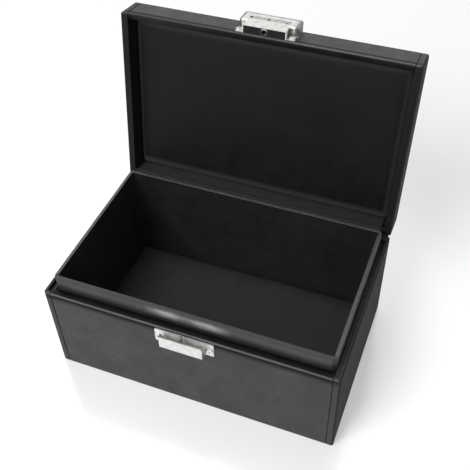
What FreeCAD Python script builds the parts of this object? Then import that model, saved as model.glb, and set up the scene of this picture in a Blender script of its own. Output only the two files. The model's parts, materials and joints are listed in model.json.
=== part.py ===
import FreeCAD, Part
import math
import os
import Sketcher

# A small leather covered box for car keys, screened against radio signals.
# Millimetres. The origin is the centre of the underside, +X runs to the box's
# right, the latch is on the -Y side and +Z is up. The lid is stored open, leaning
# back on its hinge strip.

DOCUMENT = FreeCAD.newDocument("KeyBox")
SHEET = DOCUMENT.addObject("Spreadsheet::Sheet", "Sizes")
FAILED_STATES = ("Invalid", "Error")
WIRE_FACETS = 6


class Size:
    """A length held as a number and as the expression that works it out."""

    def __init__(self, number, text):
        self.number = number
        self.text = text

    def __add__(self, other):
        return Size(self.number + as_size(other).number, f"({self.text} + {as_size(other).text})")

    def __radd__(self, other):
        return as_size(other) + self

    def __sub__(self, other):
        return Size(self.number - as_size(other).number, f"({self.text} - {as_size(other).text})")

    def __rsub__(self, other):
        return as_size(other) - self

    def __mul__(self, other):
        return Size(self.number * as_size(other).number, f"({self.text} * {as_size(other).text})")

    def __rmul__(self, other):
        return as_size(other) * self

    def __truediv__(self, other):
        return Size(self.number / as_size(other).number, f"({self.text} / {as_size(other).text})")

    def __neg__(self):
        return Size(-self.number, f"(-1 * {self.text})")


def as_size(value):
    """Give a plain number the form of a Size."""
    return value if isinstance(value, Size) else Size(value, str(value))


def sine(angle):
    """Sine of an angle in degrees."""
    return Size(math.sin(math.radians(angle.number)), f"sin({angle.text})")


def cosine(angle):
    """Cosine of an angle in degrees."""
    return Size(math.cos(math.radians(angle.number)), f"cos({angle.text})")


def size(alias, number, meaning):
    """Write one driving size into the spreadsheet."""
    row = size.next_row
    SHEET.set(f"A{row}", meaning)
    SHEET.set(f"B{row}", str(number))
    SHEET.setAlias(f"B{row}", alias)
    size.next_row = row + 1
    return Size(number, f"Sizes.{alias}")


size.next_row = 1

# Overall box
box_width = size("box_width", 200.0, "Outside width, left to right")
box_depth = size("box_depth", 125.0, "Outside depth, front to back")
base_height = size("base_height", 75.4, "Underside to the base's rim")
lid_height = size("lid_height", 21.4, "Lid's rim to its top")
seat_gap = size("seat_gap", 0.2, "Gap between the rims when shut")
open_angle = size("open_angle", 99.0, "Angle of the lid when open, in degrees")
corner_radius = size("corner_radius", 1.6, "Upright outer corners")
edge_round = size("edge_round", 0.7, "Leather turned over a rim")
lid_edge_round = size("lid_edge_round", 1.5, "Edges round the lid's top")

# Sheet materials
leather = size("leather", 0.8, "Outer leather")
lining = size("lining", 0.5, "Lining leather")
shield = size("shield", 0.3, "Metallised screening cloth")
felt = size("felt", 0.6, "Sheet under the base")

# Base shell
side_setback = size("side_setback", 5.3, "Outside to the collar, at the sides")
front_setback = size("front_setback", 7.2, "Outside to the collar, at the front")
back_setback = size("back_setback", 5.4, "Outside to the collar, at the back")
bottom_board_thickness = size("bottom_board_thickness", 2.5, "Board under the floor")
felt_inset = size("felt_inset", 2.5, "Outside to the edge of the underside sheet")
turn_under = size("turn_under", 12.0, "Outer leather folded under the base")
turn_in = size("turn_in", 15.0, "Outer leather folded inside the base")
corner_return = size("corner_return", 4.6, "Side leather wrapped round to the front")
seam_gap = size("seam_gap", 0.3, "Gap between two leathers at a seam")
floor_level = size("floor_level", 7.0, "Underside to the top of the floor pad")
floor_pad_gap = size("floor_pad_gap", 0.3, "Floor pad to the lining round it")
floor_pad_round = size("floor_pad_round", 1.0, "Soft edge of the floor pad")

# Collar that stands above the base's rim
collar_rise = size("collar_rise", 8.9, "Base's rim to the collar's rim")
collar_board_thickness = size("collar_board_thickness", 0.9, "Card in the collar")
collar_skirt = size("collar_skirt", 20.0, "Lining folded over, down the collar's outside")
collar_corner = size("collar_corner", 2.2, "Collar's upright outer corners")
collar_edge_round = size("collar_edge_round", 0.9, "Lining folded over the collar's rim")
card_corner = size("card_corner", 0.85, "Outer corners of the collar's card")

# Lid shell
lid_wall = size("lid_wall", 4.8, "Whole thickness of a lid wall")
lid_recess = size("lid_recess", 12.0, "Lid's rim to the padded panel")
lid_board_thickness = size("lid_board_thickness", 3.0, "Board across the lid's top")
lid_turn_in = size("lid_turn_in", 14.0, "Leather folded inside the lid")
lid_seam_drop = size("lid_seam_drop", 2.2, "Lid's top to the front leather's upper edge")
pad_gap = size("pad_gap", 0.3, "Padded panel to the leather round it")
pad_skin = size("pad_skin", 0.5, "Leather over the padded panel")
pad_round = size("pad_round", 2.6, "Soft edge of the padded panel")

# Leather hinge
hinge_flap = size("hinge_flap", 3.0, "Height of the flexing leather on each half")
strip_space = size("strip_space", 0.6, "Space behind the collar for the hinge lining")
strip_gap = size("strip_gap", 0.05, "Hinge lining to the faces beside it")

# Catch plate on the base
plate_width = size("plate_width", 40.0, "Width of the catch plate")
plate_height = size("plate_height", 11.0, "Height of the catch plate")
plate_drop = size("plate_drop", 2.5, "Base's rim to the catch plate")
plate_thickness = size("plate_thickness", 0.9, "Sheet of the catch plate")
plate_corner = size("plate_corner", 0.8, "Corners of the catch plate")
plate_screw_margin = size("plate_screw_margin", 0.3, "Screw head to the end of the catch plate")
ear_thickness = size("ear_thickness", 0.9, "Sheet of an ear that holds the pin")
ear_radius = size("ear_radius", 1.3, "Round end of an ear")
ear_gap = size("ear_gap", 0.25, "Ear to the lever's cheek")

# Release lever and its pin
lever_screw_gap = size("lever_screw_gap", 0.45, "Peened head of the pin to a screw head")
lever_reach = size("lever_reach", 6.8, "Front of the box to the lever's face")
lever_top = size("lever_top", 1.0, "Base's rim to the lever's upper edge")
lever_height = size("lever_height", 10.6, "Height of the lever's face")
lever_sheet = size("lever_sheet", 0.9, "Sheet of the lever")
lever_floor_back = size("lever_floor_back", 1.6, "Front of the box to the lever's folded floor")
lever_stop_gap = size("lever_stop_gap", 0.15, "Cheeks at rest to the catch plate that stops them")
cheek_rise = size("cheek_rise", 0.2, "Pin to the cheek's shoulder, upwards")
cheek_top_depth = size("cheek_top_depth", 2.5, "Depth of a cheek at the top of the face")
lever_round = size("lever_round", 0.7, "Bent edges of the lever")
pivot_drop = size("pivot_drop", 9.0, "Base's rim to the pin")
pivot_reach = size("pivot_reach", 2.4, "Front of the box to the pin")
pin_radius = size("pin_radius", 0.75, "Pin")
pin_head_radius = size("pin_head_radius", 1.2, "Peened head of the pin")
pin_head = size("pin_head", 0.45, "Height of a peened head")
pin_head_gap = size("pin_head_gap", 0.1, "Peened head to the cheek")
pin_fit = size("pin_fit", 0.02, "Radial clearance of the pin in an ear")
pin_running_fit = size("pin_running_fit", 0.05, "Radial clearance of the pin in a cheek")
hook_width = size("hook_width", 1.6, "Width of the hook")
hook_reach = size("hook_reach", 3.8, "Front of the box to the back of the hook")
hook_sheet = size("hook_sheet", 0.8, "Sheet of the hook")
hook_rise = size("hook_rise", 2.5, "Base's rim to the hook's tip")
barb_reach = size("barb_reach", 1.0, "How far the barb stands out of the hook")
barb_height = size("barb_height", 1.0, "Height of the barb")
barb_nose = size("barb_nose", 0.25, "Blunt edge of the barb")
spring_wire = size("spring_wire", 0.4, "Wire of the torsion spring")
spring_radius = size("spring_radius", 1.15, "Pin's centre line to the wire's centre line")
spring_pitch = size("spring_pitch", 0.6, "Pitch of the coils")
spring_turns = size("spring_turns", 3.25, "Number of coils")
spring_start = size("spring_start", 3.4, "Centre line of the box to the first coil")
spring_gap = size("spring_gap", 0.05, "End of the upper leg to the lever's face")
spring_foot = size("spring_foot", 3.2, "Length of the leg on the catch plate")

# Keeper on the lid
keeper_lift = size("keeper_lift", 0.4, "Lid's rim to the keeper")
keeper_plate_thickness = size("keeper_plate_thickness", 0.8, "Sheet of the keeper's plate")
keeper_width = size("keeper_width", 39.4, "Width of the keeper at its top")
keeper_step = size("keeper_step", 5.2, "Side of the keeper's head to the side of its foot")
keeper_shoulder = size("keeper_shoulder", 7.6, "Height of the narrow foot")
keeper_drop = size("keeper_drop", 0.5, "Lid's top to the keeper's top")
keeper_reach = size("keeper_reach", 7.2, "Front of the lid to the keeper's face, at its top")
keeper_foot_reach = size("keeper_foot_reach", 6.3, "Front of the lid to the keeper's face, at its foot")
keeper_sheet = size("keeper_sheet", 0.6, "Wall of the keeper's cover")
keeper_round = size("keeper_round", 1.1, "Edges round the keeper's face")
keeper_corner = size("keeper_corner", 2.0, "Upright corners of the keeper")
groove_margin = size("groove_margin", 6.2, "Side of the keeper's head to the end of its groove")
groove_height = size("groove_height", 2.2, "Height of the groove")
groove_level = size("groove_level", 12.6, "Keeper's foot to the groove's middle")
groove_line = size("groove_line", 0.35, "Width of the groove's line")
groove_depth = size("groove_depth", 0.35, "Depth of the groove")
insert_thickness = size("insert_thickness", 0.7, "Black insert in the keeper's mouth")
insert_gap = size("insert_gap", 0.1, "Insert to the cover")
eyelet_bore = size("eyelet_bore", 1.8, "Radius of the hole that takes the hook")
eyelet_tube = size("eyelet_tube", 2.0, "Outer radius of the eyelet's tube")
eyelet_flange = size("eyelet_flange", 2.3, "Radius of the eyelet's flange")
eyelet_lip = size("eyelet_lip", 0.2, "Thickness of the eyelet's flange")
eyelet_reach = size("eyelet_reach", 3.2, "Front of the lid to the eyelet's axis")

# Screws, the same kind in both halves of the latch
screw_head_radius = size("screw_head_radius", 2.1, "Head of a screw")
screw_head_height = size("screw_head_height", 1.1, "Height of a screw head")
screw_shank = size("screw_shank", 0.8, "Radius of a screw's shank")
screw_length = size("screw_length", 4.6, "Length of a screw under its head")
screw_fit = size("screw_fit", 0.05, "Radial clearance of a screw's hole")
recess_width = size("recess_width", 0.5, "Width of a slot in the cross recess")
recess_span = size("recess_span", 2.4, "Span of the cross recess")
recess_depth = size("recess_depth", 0.6, "Depth of the cross recess")
lid_screw_lift = size("lid_screw_lift", 3.6, "Keeper's foot to its screws")
DOCUMENT.recompute()

half_width = box_width / 2
half_depth = box_depth / 2
hinge_height = base_height + seat_gap / 2
overcut = 2 * leather


# ---------------------------------------------------------------- drawing aids

def new_body(label):
    """Start a sub-part."""
    body = DOCUMENT.addObject("PartDesign::Body", label)
    body.Label = label
    return body


def origin_plane(body, role):
    """Find one of a body's own origin planes."""
    return next(item for item in body.Origin.OriginFeatures if item.Role == role)


def new_sketch(body, name, role, offset):
    """Put an empty sketch on an origin plane, moved along the plane's normal."""
    sketch = body.newObject("Sketcher::SketchObject", f"{body.Label}_{name}")
    sketch.AttachmentSupport = [(origin_plane(body, role), "")]
    sketch.MapMode = "FlatFace"
    sketch.setExpression("AttachmentOffset.Base.z", as_size(offset).text)
    return sketch


def hold(sketch, kind, element, point, value):
    """Tie one coordinate of a sketch point to its size."""
    wanted = as_size(value)
    index = sketch.addConstraint(
        Sketcher.Constraint(kind, -1, 1, element, point, wanted.number))
    sketch.setExpression(f"Constraints[{index}]", wanted.text)


def outline(sketch, points):
    """Draw one closed outline of straight lines through points of sizes."""
    first = sketch.GeometryCount
    count = len(points)
    corners = [FreeCAD.Vector(as_size(u).number, as_size(v).number, 0) for u, v in points]
    for step in range(count):
        sketch.addGeometry(Part.LineSegment(corners[step], corners[(step + 1) % count]), False)
    for step in range(count):
        following = first + (step + 1) % count
        sketch.addConstraint(Sketcher.Constraint("Coincident", first + step, 2, following, 1))
    for step, (u, v) in enumerate(points):
        hold(sketch, "DistanceX", first + step, 1, u)
        hold(sketch, "DistanceY", first + step, 1, v)


def rectangle(sketch, left, right, low, high):
    """Draw one rectangle between four sizes."""
    outline(sketch, [(left, low), (right, low), (right, high), (left, high)])


def circle(sketch, u, v, radius):
    """Draw one circle."""
    centre = FreeCAD.Vector(as_size(u).number, as_size(v).number, 0)
    index = sketch.addGeometry(
        Part.Circle(centre, FreeCAD.Vector(0, 0, 1), radius.number), False)
    hold(sketch, "DistanceX", index, 3, u)
    hold(sketch, "DistanceY", index, 3, v)
    constraint = sketch.addConstraint(Sketcher.Constraint("Radius", index, radius.number))
    sketch.setExpression(f"Constraints[{constraint}]", radius.text)


def pad(sketch, length, both_ways=False, backwards=False):
    """Raise a sketch into a solid."""
    body = sketch.getParentGeoFeatureGroup()
    feature = body.newObject("PartDesign::Pad", f"{sketch.Name}_pad")
    feature.Profile = sketch
    feature.setExpression("Length", length.text)
    feature.Midplane = both_ways
    feature.Reversed = backwards
    return feature


def pocket(sketch, depth, both_ways=False, along_normal=False):
    """Cut a sketch out of its body, and make sure that something was cut."""
    body = sketch.getParentGeoFeatureGroup()
    DOCUMENT.recompute()
    before = body.Shape.Volume
    feature = body.newObject("PartDesign::Pocket", f"{sketch.Name}_pocket")
    feature.Profile = sketch
    feature.setExpression("Length", depth.text)
    feature.Midplane = both_ways
    feature.Reversed = along_normal
    DOCUMENT.recompute()
    if not body.Shape.Volume < before:
        raise RuntimeError(f"{feature.Name} cuts nothing")
    return feature


def fillet(body, name, radius, chosen):
    """Round the edges for which chosen(edge) is true."""
    DOCUMENT.recompute()
    tip = body.Tip
    names = [f"Edge{number}" for number, edge in enumerate(tip.Shape.Edges, 1) if chosen(edge)]
    if not names:
        raise RuntimeError(f"{body.Label} has no edge for {name}")
    feature = body.newObject("PartDesign::Fillet", f"{body.Label}_{name}")
    feature.Base = (tip, names)
    feature.setExpression("Radius", radius.text)


def near(value, wanted):
    """Say whether two lengths are the same."""
    return abs(value - as_size(wanted).number) < 1e-4


def upright_at(xs, ys):
    """Choose upright edges that stand at any of these places."""
    def chosen(edge):
        box = edge.BoundBox
        upright = box.ZLength > 0.1 and box.XLength < 1e-4 and box.YLength < 1e-4
        return (upright and any(near(box.XMin, x) for x in xs)
                and any(near(box.YMin, y) for y in ys))
    return chosen


def place_on_lid(body):
    """Swing a sub-part drawn on the shut lid, about the hinge, to the open lid."""
    body.Placement = FreeCAD.Placement(
        FreeCAD.Vector(), FreeCAD.Rotation(FreeCAD.Vector(-1, 0, 0), open_angle.number))
    body.setExpression("Placement.Base.y", half_depth.text)
    body.setExpression("Placement.Base.z", hinge_height.text)
    body.setExpression("Placement.Rotation.Angle", open_angle.text)


def place_on_front(body):
    """Move a sub-part drawn from the front of the base's rim to its place."""
    body.setExpression("Placement.Base.y", (-half_depth).text)
    body.setExpression("Placement.Base.z", base_height.text)


def board(label, left, right, front, back, low, high):
    """A flat board between six sizes."""
    body = new_body(label)
    sketch = new_sketch(body, "outline", "XY_Plane", low)
    rectangle(sketch, left, right, front, back)
    pad(sketch, high - low)
    return body


def screw_holes(body, screw_x, offset, level, depth):
    """Drill the two screw holes of one latch half through a sub-part."""
    holes = new_sketch(body, "screw_holes", "XZ_Plane", offset)
    for x in (-screw_x, screw_x):
        circle(holes, x, level, screw_shank + screw_fit)
    pocket(holes, 2 * depth, both_ways=True)


# ------------------------------------------------------------------ base shell

board_low = felt + leather
deck = board_low + bottom_board_thickness
board_high = base_height - leather
collar_side = half_width - side_setback
collar_front = -half_depth + front_setback
collar_back = half_depth - back_setback
opening_back = collar_back + strip_space
skin_side = half_width - leather
skin_front = -half_depth + leather
skin_back = half_depth - leather
turn_in_low = base_height - turn_in
collar_top = base_height + collar_rise
collar_wall = lining + collar_board_thickness + shield + lining
cavity_side = collar_side - collar_wall
cavity_front = collar_front + collar_wall
cavity_back = collar_back - collar_wall
front_panel_side = half_width - corner_return - seam_gap
catch_screw_x = plate_width / 2 - plate_screw_margin - screw_head_radius
catch_screw_level = base_height - plate_drop - plate_height / 2


def make_bottom_cover():
    """Felted sheet under the base, stepped to fill inside the folded leather."""
    body = new_body("bottom_cover")
    sheet = new_sketch(body, "sheet", "XY_Plane", 0)
    side = half_width - felt_inset
    end = half_depth - felt_inset
    rectangle(sheet, -side, side, -end, end)
    pad(sheet, felt)
    step = new_sketch(body, "step", "XY_Plane", felt)
    rectangle(step, -(half_width - turn_under), half_width - turn_under,
              -(half_depth - turn_under), half_depth - turn_under)
    pad(step, leather)
    return body


def make_base_leather():
    """Leather round the sides and back, folded over the rim and under the base."""
    body = new_body("base_leather")
    outer = new_sketch(body, "outer", "XY_Plane", felt)
    rectangle(outer, -half_width, half_width, -half_depth, half_depth)
    pad(outer, base_height - felt)
    fillet(body, "corners", corner_radius,
           upright_at((-half_width, half_width), (-half_depth, half_depth)))

    def rim_edge(edge):
        box = edge.BoundBox
        at_rim = near(box.ZMin, base_height) and near(box.ZMax, base_height)
        return at_rim and not near(box.YMax, -half_depth)
    fillet(body, "rim", edge_round, rim_edge)

    under = new_sketch(body, "under", "XY_Plane", 0)
    rectangle(under, -(half_width - turn_under), half_width - turn_under,
              -(half_depth - turn_under), half_depth - turn_under)
    pocket(under, board_low, along_normal=True)

    inside = new_sketch(body, "inside", "XY_Plane", board_low)
    rectangle(inside, -skin_side, skin_side, skin_front, skin_back)
    pocket(inside, turn_in_low - board_low, along_normal=True)

    opening = new_sketch(body, "opening", "XY_Plane", turn_in_low)
    rectangle(opening, -collar_side, collar_side, collar_front, opening_back)
    pocket(opening, turn_in + leather, along_normal=True)

    slot = new_sketch(body, "board_slot", "XY_Plane", turn_in_low)
    rectangle(slot, -skin_side, skin_side, skin_front, skin_back)
    rectangle(slot, -(collar_side + leather), collar_side + leather,
              collar_front - leather, opening_back + leather)
    pocket(slot, board_high - turn_in_low, along_normal=True)

    front = new_sketch(body, "front", "XY_Plane", 0)
    panel_side = half_width - corner_return
    rectangle(front, -panel_side, panel_side, -half_depth - leather, collar_front)
    pocket(front, base_height + leather, along_normal=True)
    under_front = new_sketch(body, "under_front", "XY_Plane", 0)
    rectangle(under_front, -panel_side, panel_side, -half_depth - leather,
              -half_depth + turn_under)
    pocket(under_front, board_low, along_normal=True)

    hinge = new_sketch(body, "hinge", "XY_Plane", base_height - hinge_flap)
    side = half_width - corner_radius
    rectangle(hinge, -side, side, skin_back, half_depth + leather)
    pocket(hinge, hinge_flap + leather, along_normal=True)
    return body


def make_base_front_leather():
    """Front leather, rolled over the rim and folded under the base."""
    body = new_body("base_front_leather")
    profile = new_sketch(body, "profile", "YZ_Plane", 0)
    outline(profile, [
        (-half_depth, felt), (-half_depth + turn_under, felt),
        (-half_depth + turn_under, board_low), (skin_front, board_low),
        (skin_front, board_high), (collar_front - leather, board_high),
        (collar_front - leather, turn_in_low), (collar_front, turn_in_low),
        (collar_front, base_height), (-half_depth, base_height)])
    pad(profile, 2 * front_panel_side, both_ways=True)

    def rolled(edge):
        box = edge.BoundBox
        return box.XLength > 1 and near(box.ZMin, base_height) and near(box.YMin, -half_depth)
    fillet(body, "roll", edge_round, rolled)
    screw_holes(body, catch_screw_x, half_depth, catch_screw_level, overcut)
    return body


def make_base_boards():
    """Bottom and wall boards of the base."""
    board("base_bottom_board", -skin_side, skin_side, skin_front, skin_back, board_low, deck)
    front = board("base_front_board", -skin_side, skin_side, skin_front,
                  collar_front - leather, deck, board_high)
    screw_holes(front, catch_screw_x, half_depth, catch_screw_level, screw_length)
    board("base_back_board", -skin_side, skin_side, opening_back + leather, skin_back,
          deck, board_high)
    for label, near_x, far_x in (("base_left_board", -skin_side, -(collar_side + leather)),
                                 ("base_right_board", collar_side + leather, skin_side)):
        board(label, near_x, far_x, collar_front - leather, opening_back + leather,
              deck, board_high)


def make_collar():
    """Card walls of the collar, their lining and the floor pad."""
    card_side = collar_side - lining
    card_front = collar_front + lining
    card_back = collar_back - lining
    card_top = collar_top - lining
    for label, low_y, high_y, corner_y in (
            ("collar_front_board", card_front, card_front + collar_board_thickness, card_front),
            ("collar_back_board", card_back - collar_board_thickness, card_back, card_back)):
        body = board(label, -card_side, card_side, low_y, high_y, deck, card_top)
        fillet(body, "corners", card_corner, upright_at((-card_side, card_side), (corner_y,)))
    side_front = card_front + collar_board_thickness
    side_back = card_back - collar_board_thickness
    for label, low_x, high_x in (
            ("collar_left_board", -card_side, -(card_side - collar_board_thickness)),
            ("collar_right_board", card_side - collar_board_thickness, card_side)):
        board(label, low_x, high_x, side_front, side_back, deck, card_top)

    tray = new_body("base_shield")
    shell = new_sketch(tray, "outer", "XY_Plane", deck)
    tray_side = card_side - collar_board_thickness
    rectangle(shell, -tray_side, tray_side, side_front, side_back)
    pad(shell, card_top - deck)
    hollow = new_sketch(tray, "hollow", "XY_Plane", deck + shield)
    rectangle(hollow, -(tray_side - shield), tray_side - shield,
              side_front + shield, side_back - shield)
    pocket(hollow, card_top, along_normal=True)

    floor = deck + shield
    cover = new_body("collar_lining")
    sleeve = new_sketch(cover, "sleeve", "XY_Plane", floor)
    rectangle(sleeve, -(cavity_side + lining), cavity_side + lining,
              cavity_front - lining, cavity_back + lining)
    pad(sleeve, collar_top - floor)
    skirt_low = collar_top - collar_skirt
    skirt = new_sketch(cover, "skirt", "XY_Plane", skirt_low)
    rectangle(skirt, -collar_side, collar_side, collar_front, collar_back)
    pad(skirt, collar_skirt)
    fillet(cover, "outer_corners", collar_corner,
           upright_at((-collar_side, collar_side), (collar_front, collar_back)))
    cavity = new_sketch(cover, "cavity", "XY_Plane", 0)
    rectangle(cavity, -cavity_side, cavity_side, cavity_front, cavity_back)
    pocket(cavity, collar_top + leather, along_normal=True)

    def collar_rim(edge):
        box = edge.BoundBox
        return near(box.ZMin, collar_top) and near(box.ZMax, collar_top)
    fillet(cover, "rim", collar_edge_round, collar_rim)
    slot = new_sketch(cover, "card_slot", "XY_Plane", skirt_low)
    rectangle(slot, -card_side, card_side, card_front, card_back)
    rectangle(slot, -(cavity_side + lining), cavity_side + lining,
              cavity_front - lining, cavity_back + lining)
    pocket(slot, card_top - skirt_low, along_normal=True)

    pad_body = board("floor_pad", -(cavity_side - floor_pad_gap), cavity_side - floor_pad_gap,
                     cavity_front + floor_pad_gap, cavity_back - floor_pad_gap,
                     floor, floor_level)

    def pad_edge(edge):
        box = edge.BoundBox
        return near(box.ZMin, floor_level) and near(box.ZMax, floor_level)
    fillet(pad_body, "edges", floor_pad_round, pad_edge)


# --------------------------------------------------------- lid, drawn as if shut
# On the lid, y runs from the hinge line to the front at -box_depth, and z from the
# hinge line up.

lid_low = seat_gap / 2
lid_high = lid_low + lid_height
lid_front = -box_depth
lid_skin_high = lid_high - leather
lid_board_low = lid_skin_high - lid_board_thickness
recess_side = half_width - lid_wall
recess_front = lid_front + lid_wall
recess_back = -lid_wall
lid_panel_level = lid_low + lid_recess
keeper_level = lid_low + keeper_lift
keeper_rise = lid_height - keeper_lift - keeper_drop
keeper_neck = keeper_width - 2 * keeper_step
keeper_screw_x = keeper_width / 2 - screw_head_radius
lid_screw_level = keeper_level + lid_screw_lift


def make_lid_leather():
    """Leather over the lid's top, sides and back, folded over the rim."""
    body = new_body("lid_leather")
    outer = new_sketch(body, "outer", "XY_Plane", lid_low)
    rectangle(outer, -half_width, half_width, lid_front, 0)
    pad(outer, lid_height)
    fillet(body, "corners", corner_radius, upright_at((-half_width, half_width), (lid_front, 0)))

    def top_edge(edge):
        box = edge.BoundBox
        return near(box.ZMin, lid_high) and near(box.ZMax, lid_high)
    fillet(body, "top", lid_edge_round, top_edge)

    recess = new_sketch(body, "recess", "XY_Plane", 0)
    rectangle(recess, -recess_side, recess_side, recess_front, recess_back)
    pocket(recess, lid_skin_high, along_normal=True)
    slot = new_sketch(body, "board_slot", "XY_Plane", lid_low + leather)
    rectangle(slot, -skin_side, skin_side, lid_front + leather, -leather)
    rectangle(slot, -(recess_side + lining), recess_side + lining,
              recess_front - lining, recess_back + lining)
    pocket(slot, lid_skin_high - lid_low - leather, along_normal=True)
    above = new_sketch(body, "above_turn_in", "XY_Plane", lid_low + lid_turn_in)
    rectangle(above, -skin_side, skin_side, lid_front + leather, -leather)
    pocket(above, lid_skin_high - lid_low - lid_turn_in, along_normal=True)

    front = new_sketch(body, "front", "XY_Plane", 0)
    panel_side = half_width - corner_return
    rectangle(front, -panel_side, panel_side, lid_front - leather, recess_front)
    pocket(front, lid_high - lid_seam_drop + seam_gap, along_normal=True)
    hinge = new_sketch(body, "hinge", "XY_Plane", 0)
    side = half_width - corner_radius
    rectangle(hinge, -side, side, -leather, leather)
    pocket(hinge, lid_low + hinge_flap, along_normal=True)
    place_on_lid(body)


def make_lid_front_leather():
    """Leather on the lid's front, rolled over the rim."""
    body = new_body("lid_front_leather")
    profile = new_sketch(body, "profile", "YZ_Plane", 0)
    high = lid_high - lid_seam_drop
    fold = lid_low + lid_turn_in
    outline(profile, [
        (lid_front, lid_low), (recess_front, lid_low), (recess_front, fold),
        (recess_front - lining, fold), (recess_front - lining, lid_low + leather),
        (lid_front + leather, lid_low + leather), (lid_front + leather, high),
        (lid_front, high)])
    pad(profile, 2 * front_panel_side, both_ways=True)

    def rolled(edge):
        box = edge.BoundBox
        return box.XLength > 1 and near(box.ZMin, lid_low) and near(box.YMin, lid_front)
    fillet(body, "roll", edge_round, rolled)
    screw_holes(body, keeper_screw_x, box_depth, lid_screw_level, overcut)
    place_on_lid(body)


def make_lid_boards():
    """Top and wall boards of the lid, its screening cloth and padded panel."""
    low = lid_low + leather
    board_side = recess_side + lining + shield
    board_front = recess_front - lining - shield
    board_back = recess_back + lining + shield
    boards = [
        board("lid_top_board", -skin_side, skin_side, lid_front + leather, -leather,
              lid_board_low, lid_skin_high),
        board("lid_front_board", -skin_side, skin_side, lid_front + leather, board_front,
              low, lid_board_low),
        board("lid_back_board", -skin_side, skin_side, board_back, -leather,
              low, lid_board_low),
        board("lid_left_board", -skin_side, -board_side, board_front, board_back,
              low, lid_board_low),
        board("lid_right_board", board_side, skin_side, board_front, board_back,
              low, lid_board_low)]
    screw_holes(boards[1], keeper_screw_x, box_depth, lid_screw_level, screw_length)
    for body in boards:
        place_on_lid(body)

    tray = new_body("lid_shield")
    outer = new_sketch(tray, "outer", "XY_Plane", low)
    rectangle(outer, -board_side, board_side, board_front, board_back)
    pad(outer, lid_board_low - low)
    hollow = new_sketch(tray, "hollow", "XY_Plane", 0)
    rectangle(hollow, -(board_side - shield), board_side - shield,
              board_front + shield, board_back - shield)
    pocket(hollow, lid_board_low - shield, along_normal=True)
    place_on_lid(tray)

    pad_side = recess_side - pad_gap
    pad_front = recess_front + pad_gap
    pad_back = recess_back - pad_gap
    pad_high = lid_board_low - shield

    def face_edge(level):
        def chosen(edge):
            box = edge.BoundBox
            return near(box.ZMin, level) and near(box.ZMax, level)
        return chosen
    foam = board("lid_pad_foam", -(pad_side - pad_skin), pad_side - pad_skin,
                 pad_front + pad_skin, pad_back - pad_skin, lid_panel_level + pad_skin, pad_high)
    fillet(foam, "edges", pad_round - pad_skin, face_edge(lid_panel_level + pad_skin))
    place_on_lid(foam)

    cover = board("lid_pad_cover", -pad_side, pad_side, pad_front, pad_back,
                  lid_panel_level, pad_high)
    fillet(cover, "edges", pad_round, face_edge(lid_panel_level))
    DOCUMENT.recompute()
    solid = cover.Tip
    glued = next(f"Face{number}" for number, face in enumerate(solid.Shape.Faces, 1)
                 if near(face.BoundBox.ZMin, pad_high) and near(face.BoundBox.ZMax, pad_high))
    shell = cover.newObject("PartDesign::Thickness", "lid_pad_cover_skin")
    shell.Base = (solid, [glued])
    shell.setExpression("Value", pad_skin.text)
    shell.Reversed = True
    place_on_lid(cover)


# --------------------------------------------------------------- leather hinge

def swung(y, z):
    """Where a point drawn on the shut lid stands on the open lid."""
    return (half_depth + y * cosine(open_angle) + z * sine(open_angle),
            hinge_height + z * cosine(open_angle) - y * sine(open_angle))


def make_hinge_leather():
    """Outer leather that flexes between the base's back and the lid's back."""
    body = new_body("hinge_leather")
    profile = new_sketch(body, "profile", "YZ_Plane", 0)
    bend = leather * sine(open_angle / 2) / cosine(open_angle / 2)
    outline(profile, [
        (skin_back, base_height - hinge_flap), (half_depth, base_height - hinge_flap),
        (half_depth, hinge_height), swung(0, lid_low + hinge_flap),
        swung(-leather, lid_low + hinge_flap), (skin_back, hinge_height + bend)])
    pad(profile, 2 * (half_width - corner_radius), both_ways=True)

    def inner_bend(edge):
        box = edge.BoundBox
        return (box.XLength > 1 and near(box.YMin, skin_back)
                and near(box.ZMin, hinge_height + bend))
    fillet(body, "bend", leather, inner_bend)


def make_hinge_lining():
    """Inner strip, glued down behind the collar and up the lid's back wall."""
    body = new_body("hinge_lining")
    profile = new_sketch(body, "profile", "YZ_Plane", 0)
    front = collar_back + strip_gap
    back = front + lining
    wall = recess_back
    outline(profile, [
        (front, turn_in_low), (back, turn_in_low), (back, base_height),
        swung(wall, lid_low), swung(wall, lid_panel_level),
        swung(wall - lining, lid_panel_level), swung(wall - lining, lid_low),
        (front, base_height)])
    pad(profile, 2 * (collar_side - collar_corner), both_ways=True)


# ------------------------------------------------- catch, drawn from the base's rim
# On the catch, y is negative outwards from the front of the base and z is
# measured from the base's rim.

pivot_level = -pivot_drop
plate_middle = -plate_drop - plate_height / 2
cheek_outer = catch_screw_x - screw_head_radius - lever_screw_gap - pin_head - pin_head_gap
lever_width = 2 * cheek_outer
cheek_inner = cheek_outer - lever_sheet
ear_outer = cheek_inner - ear_gap
ear_inner = ear_outer - ear_thickness
lever_low = -lever_top - lever_height
lever_high = -lever_top


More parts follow.
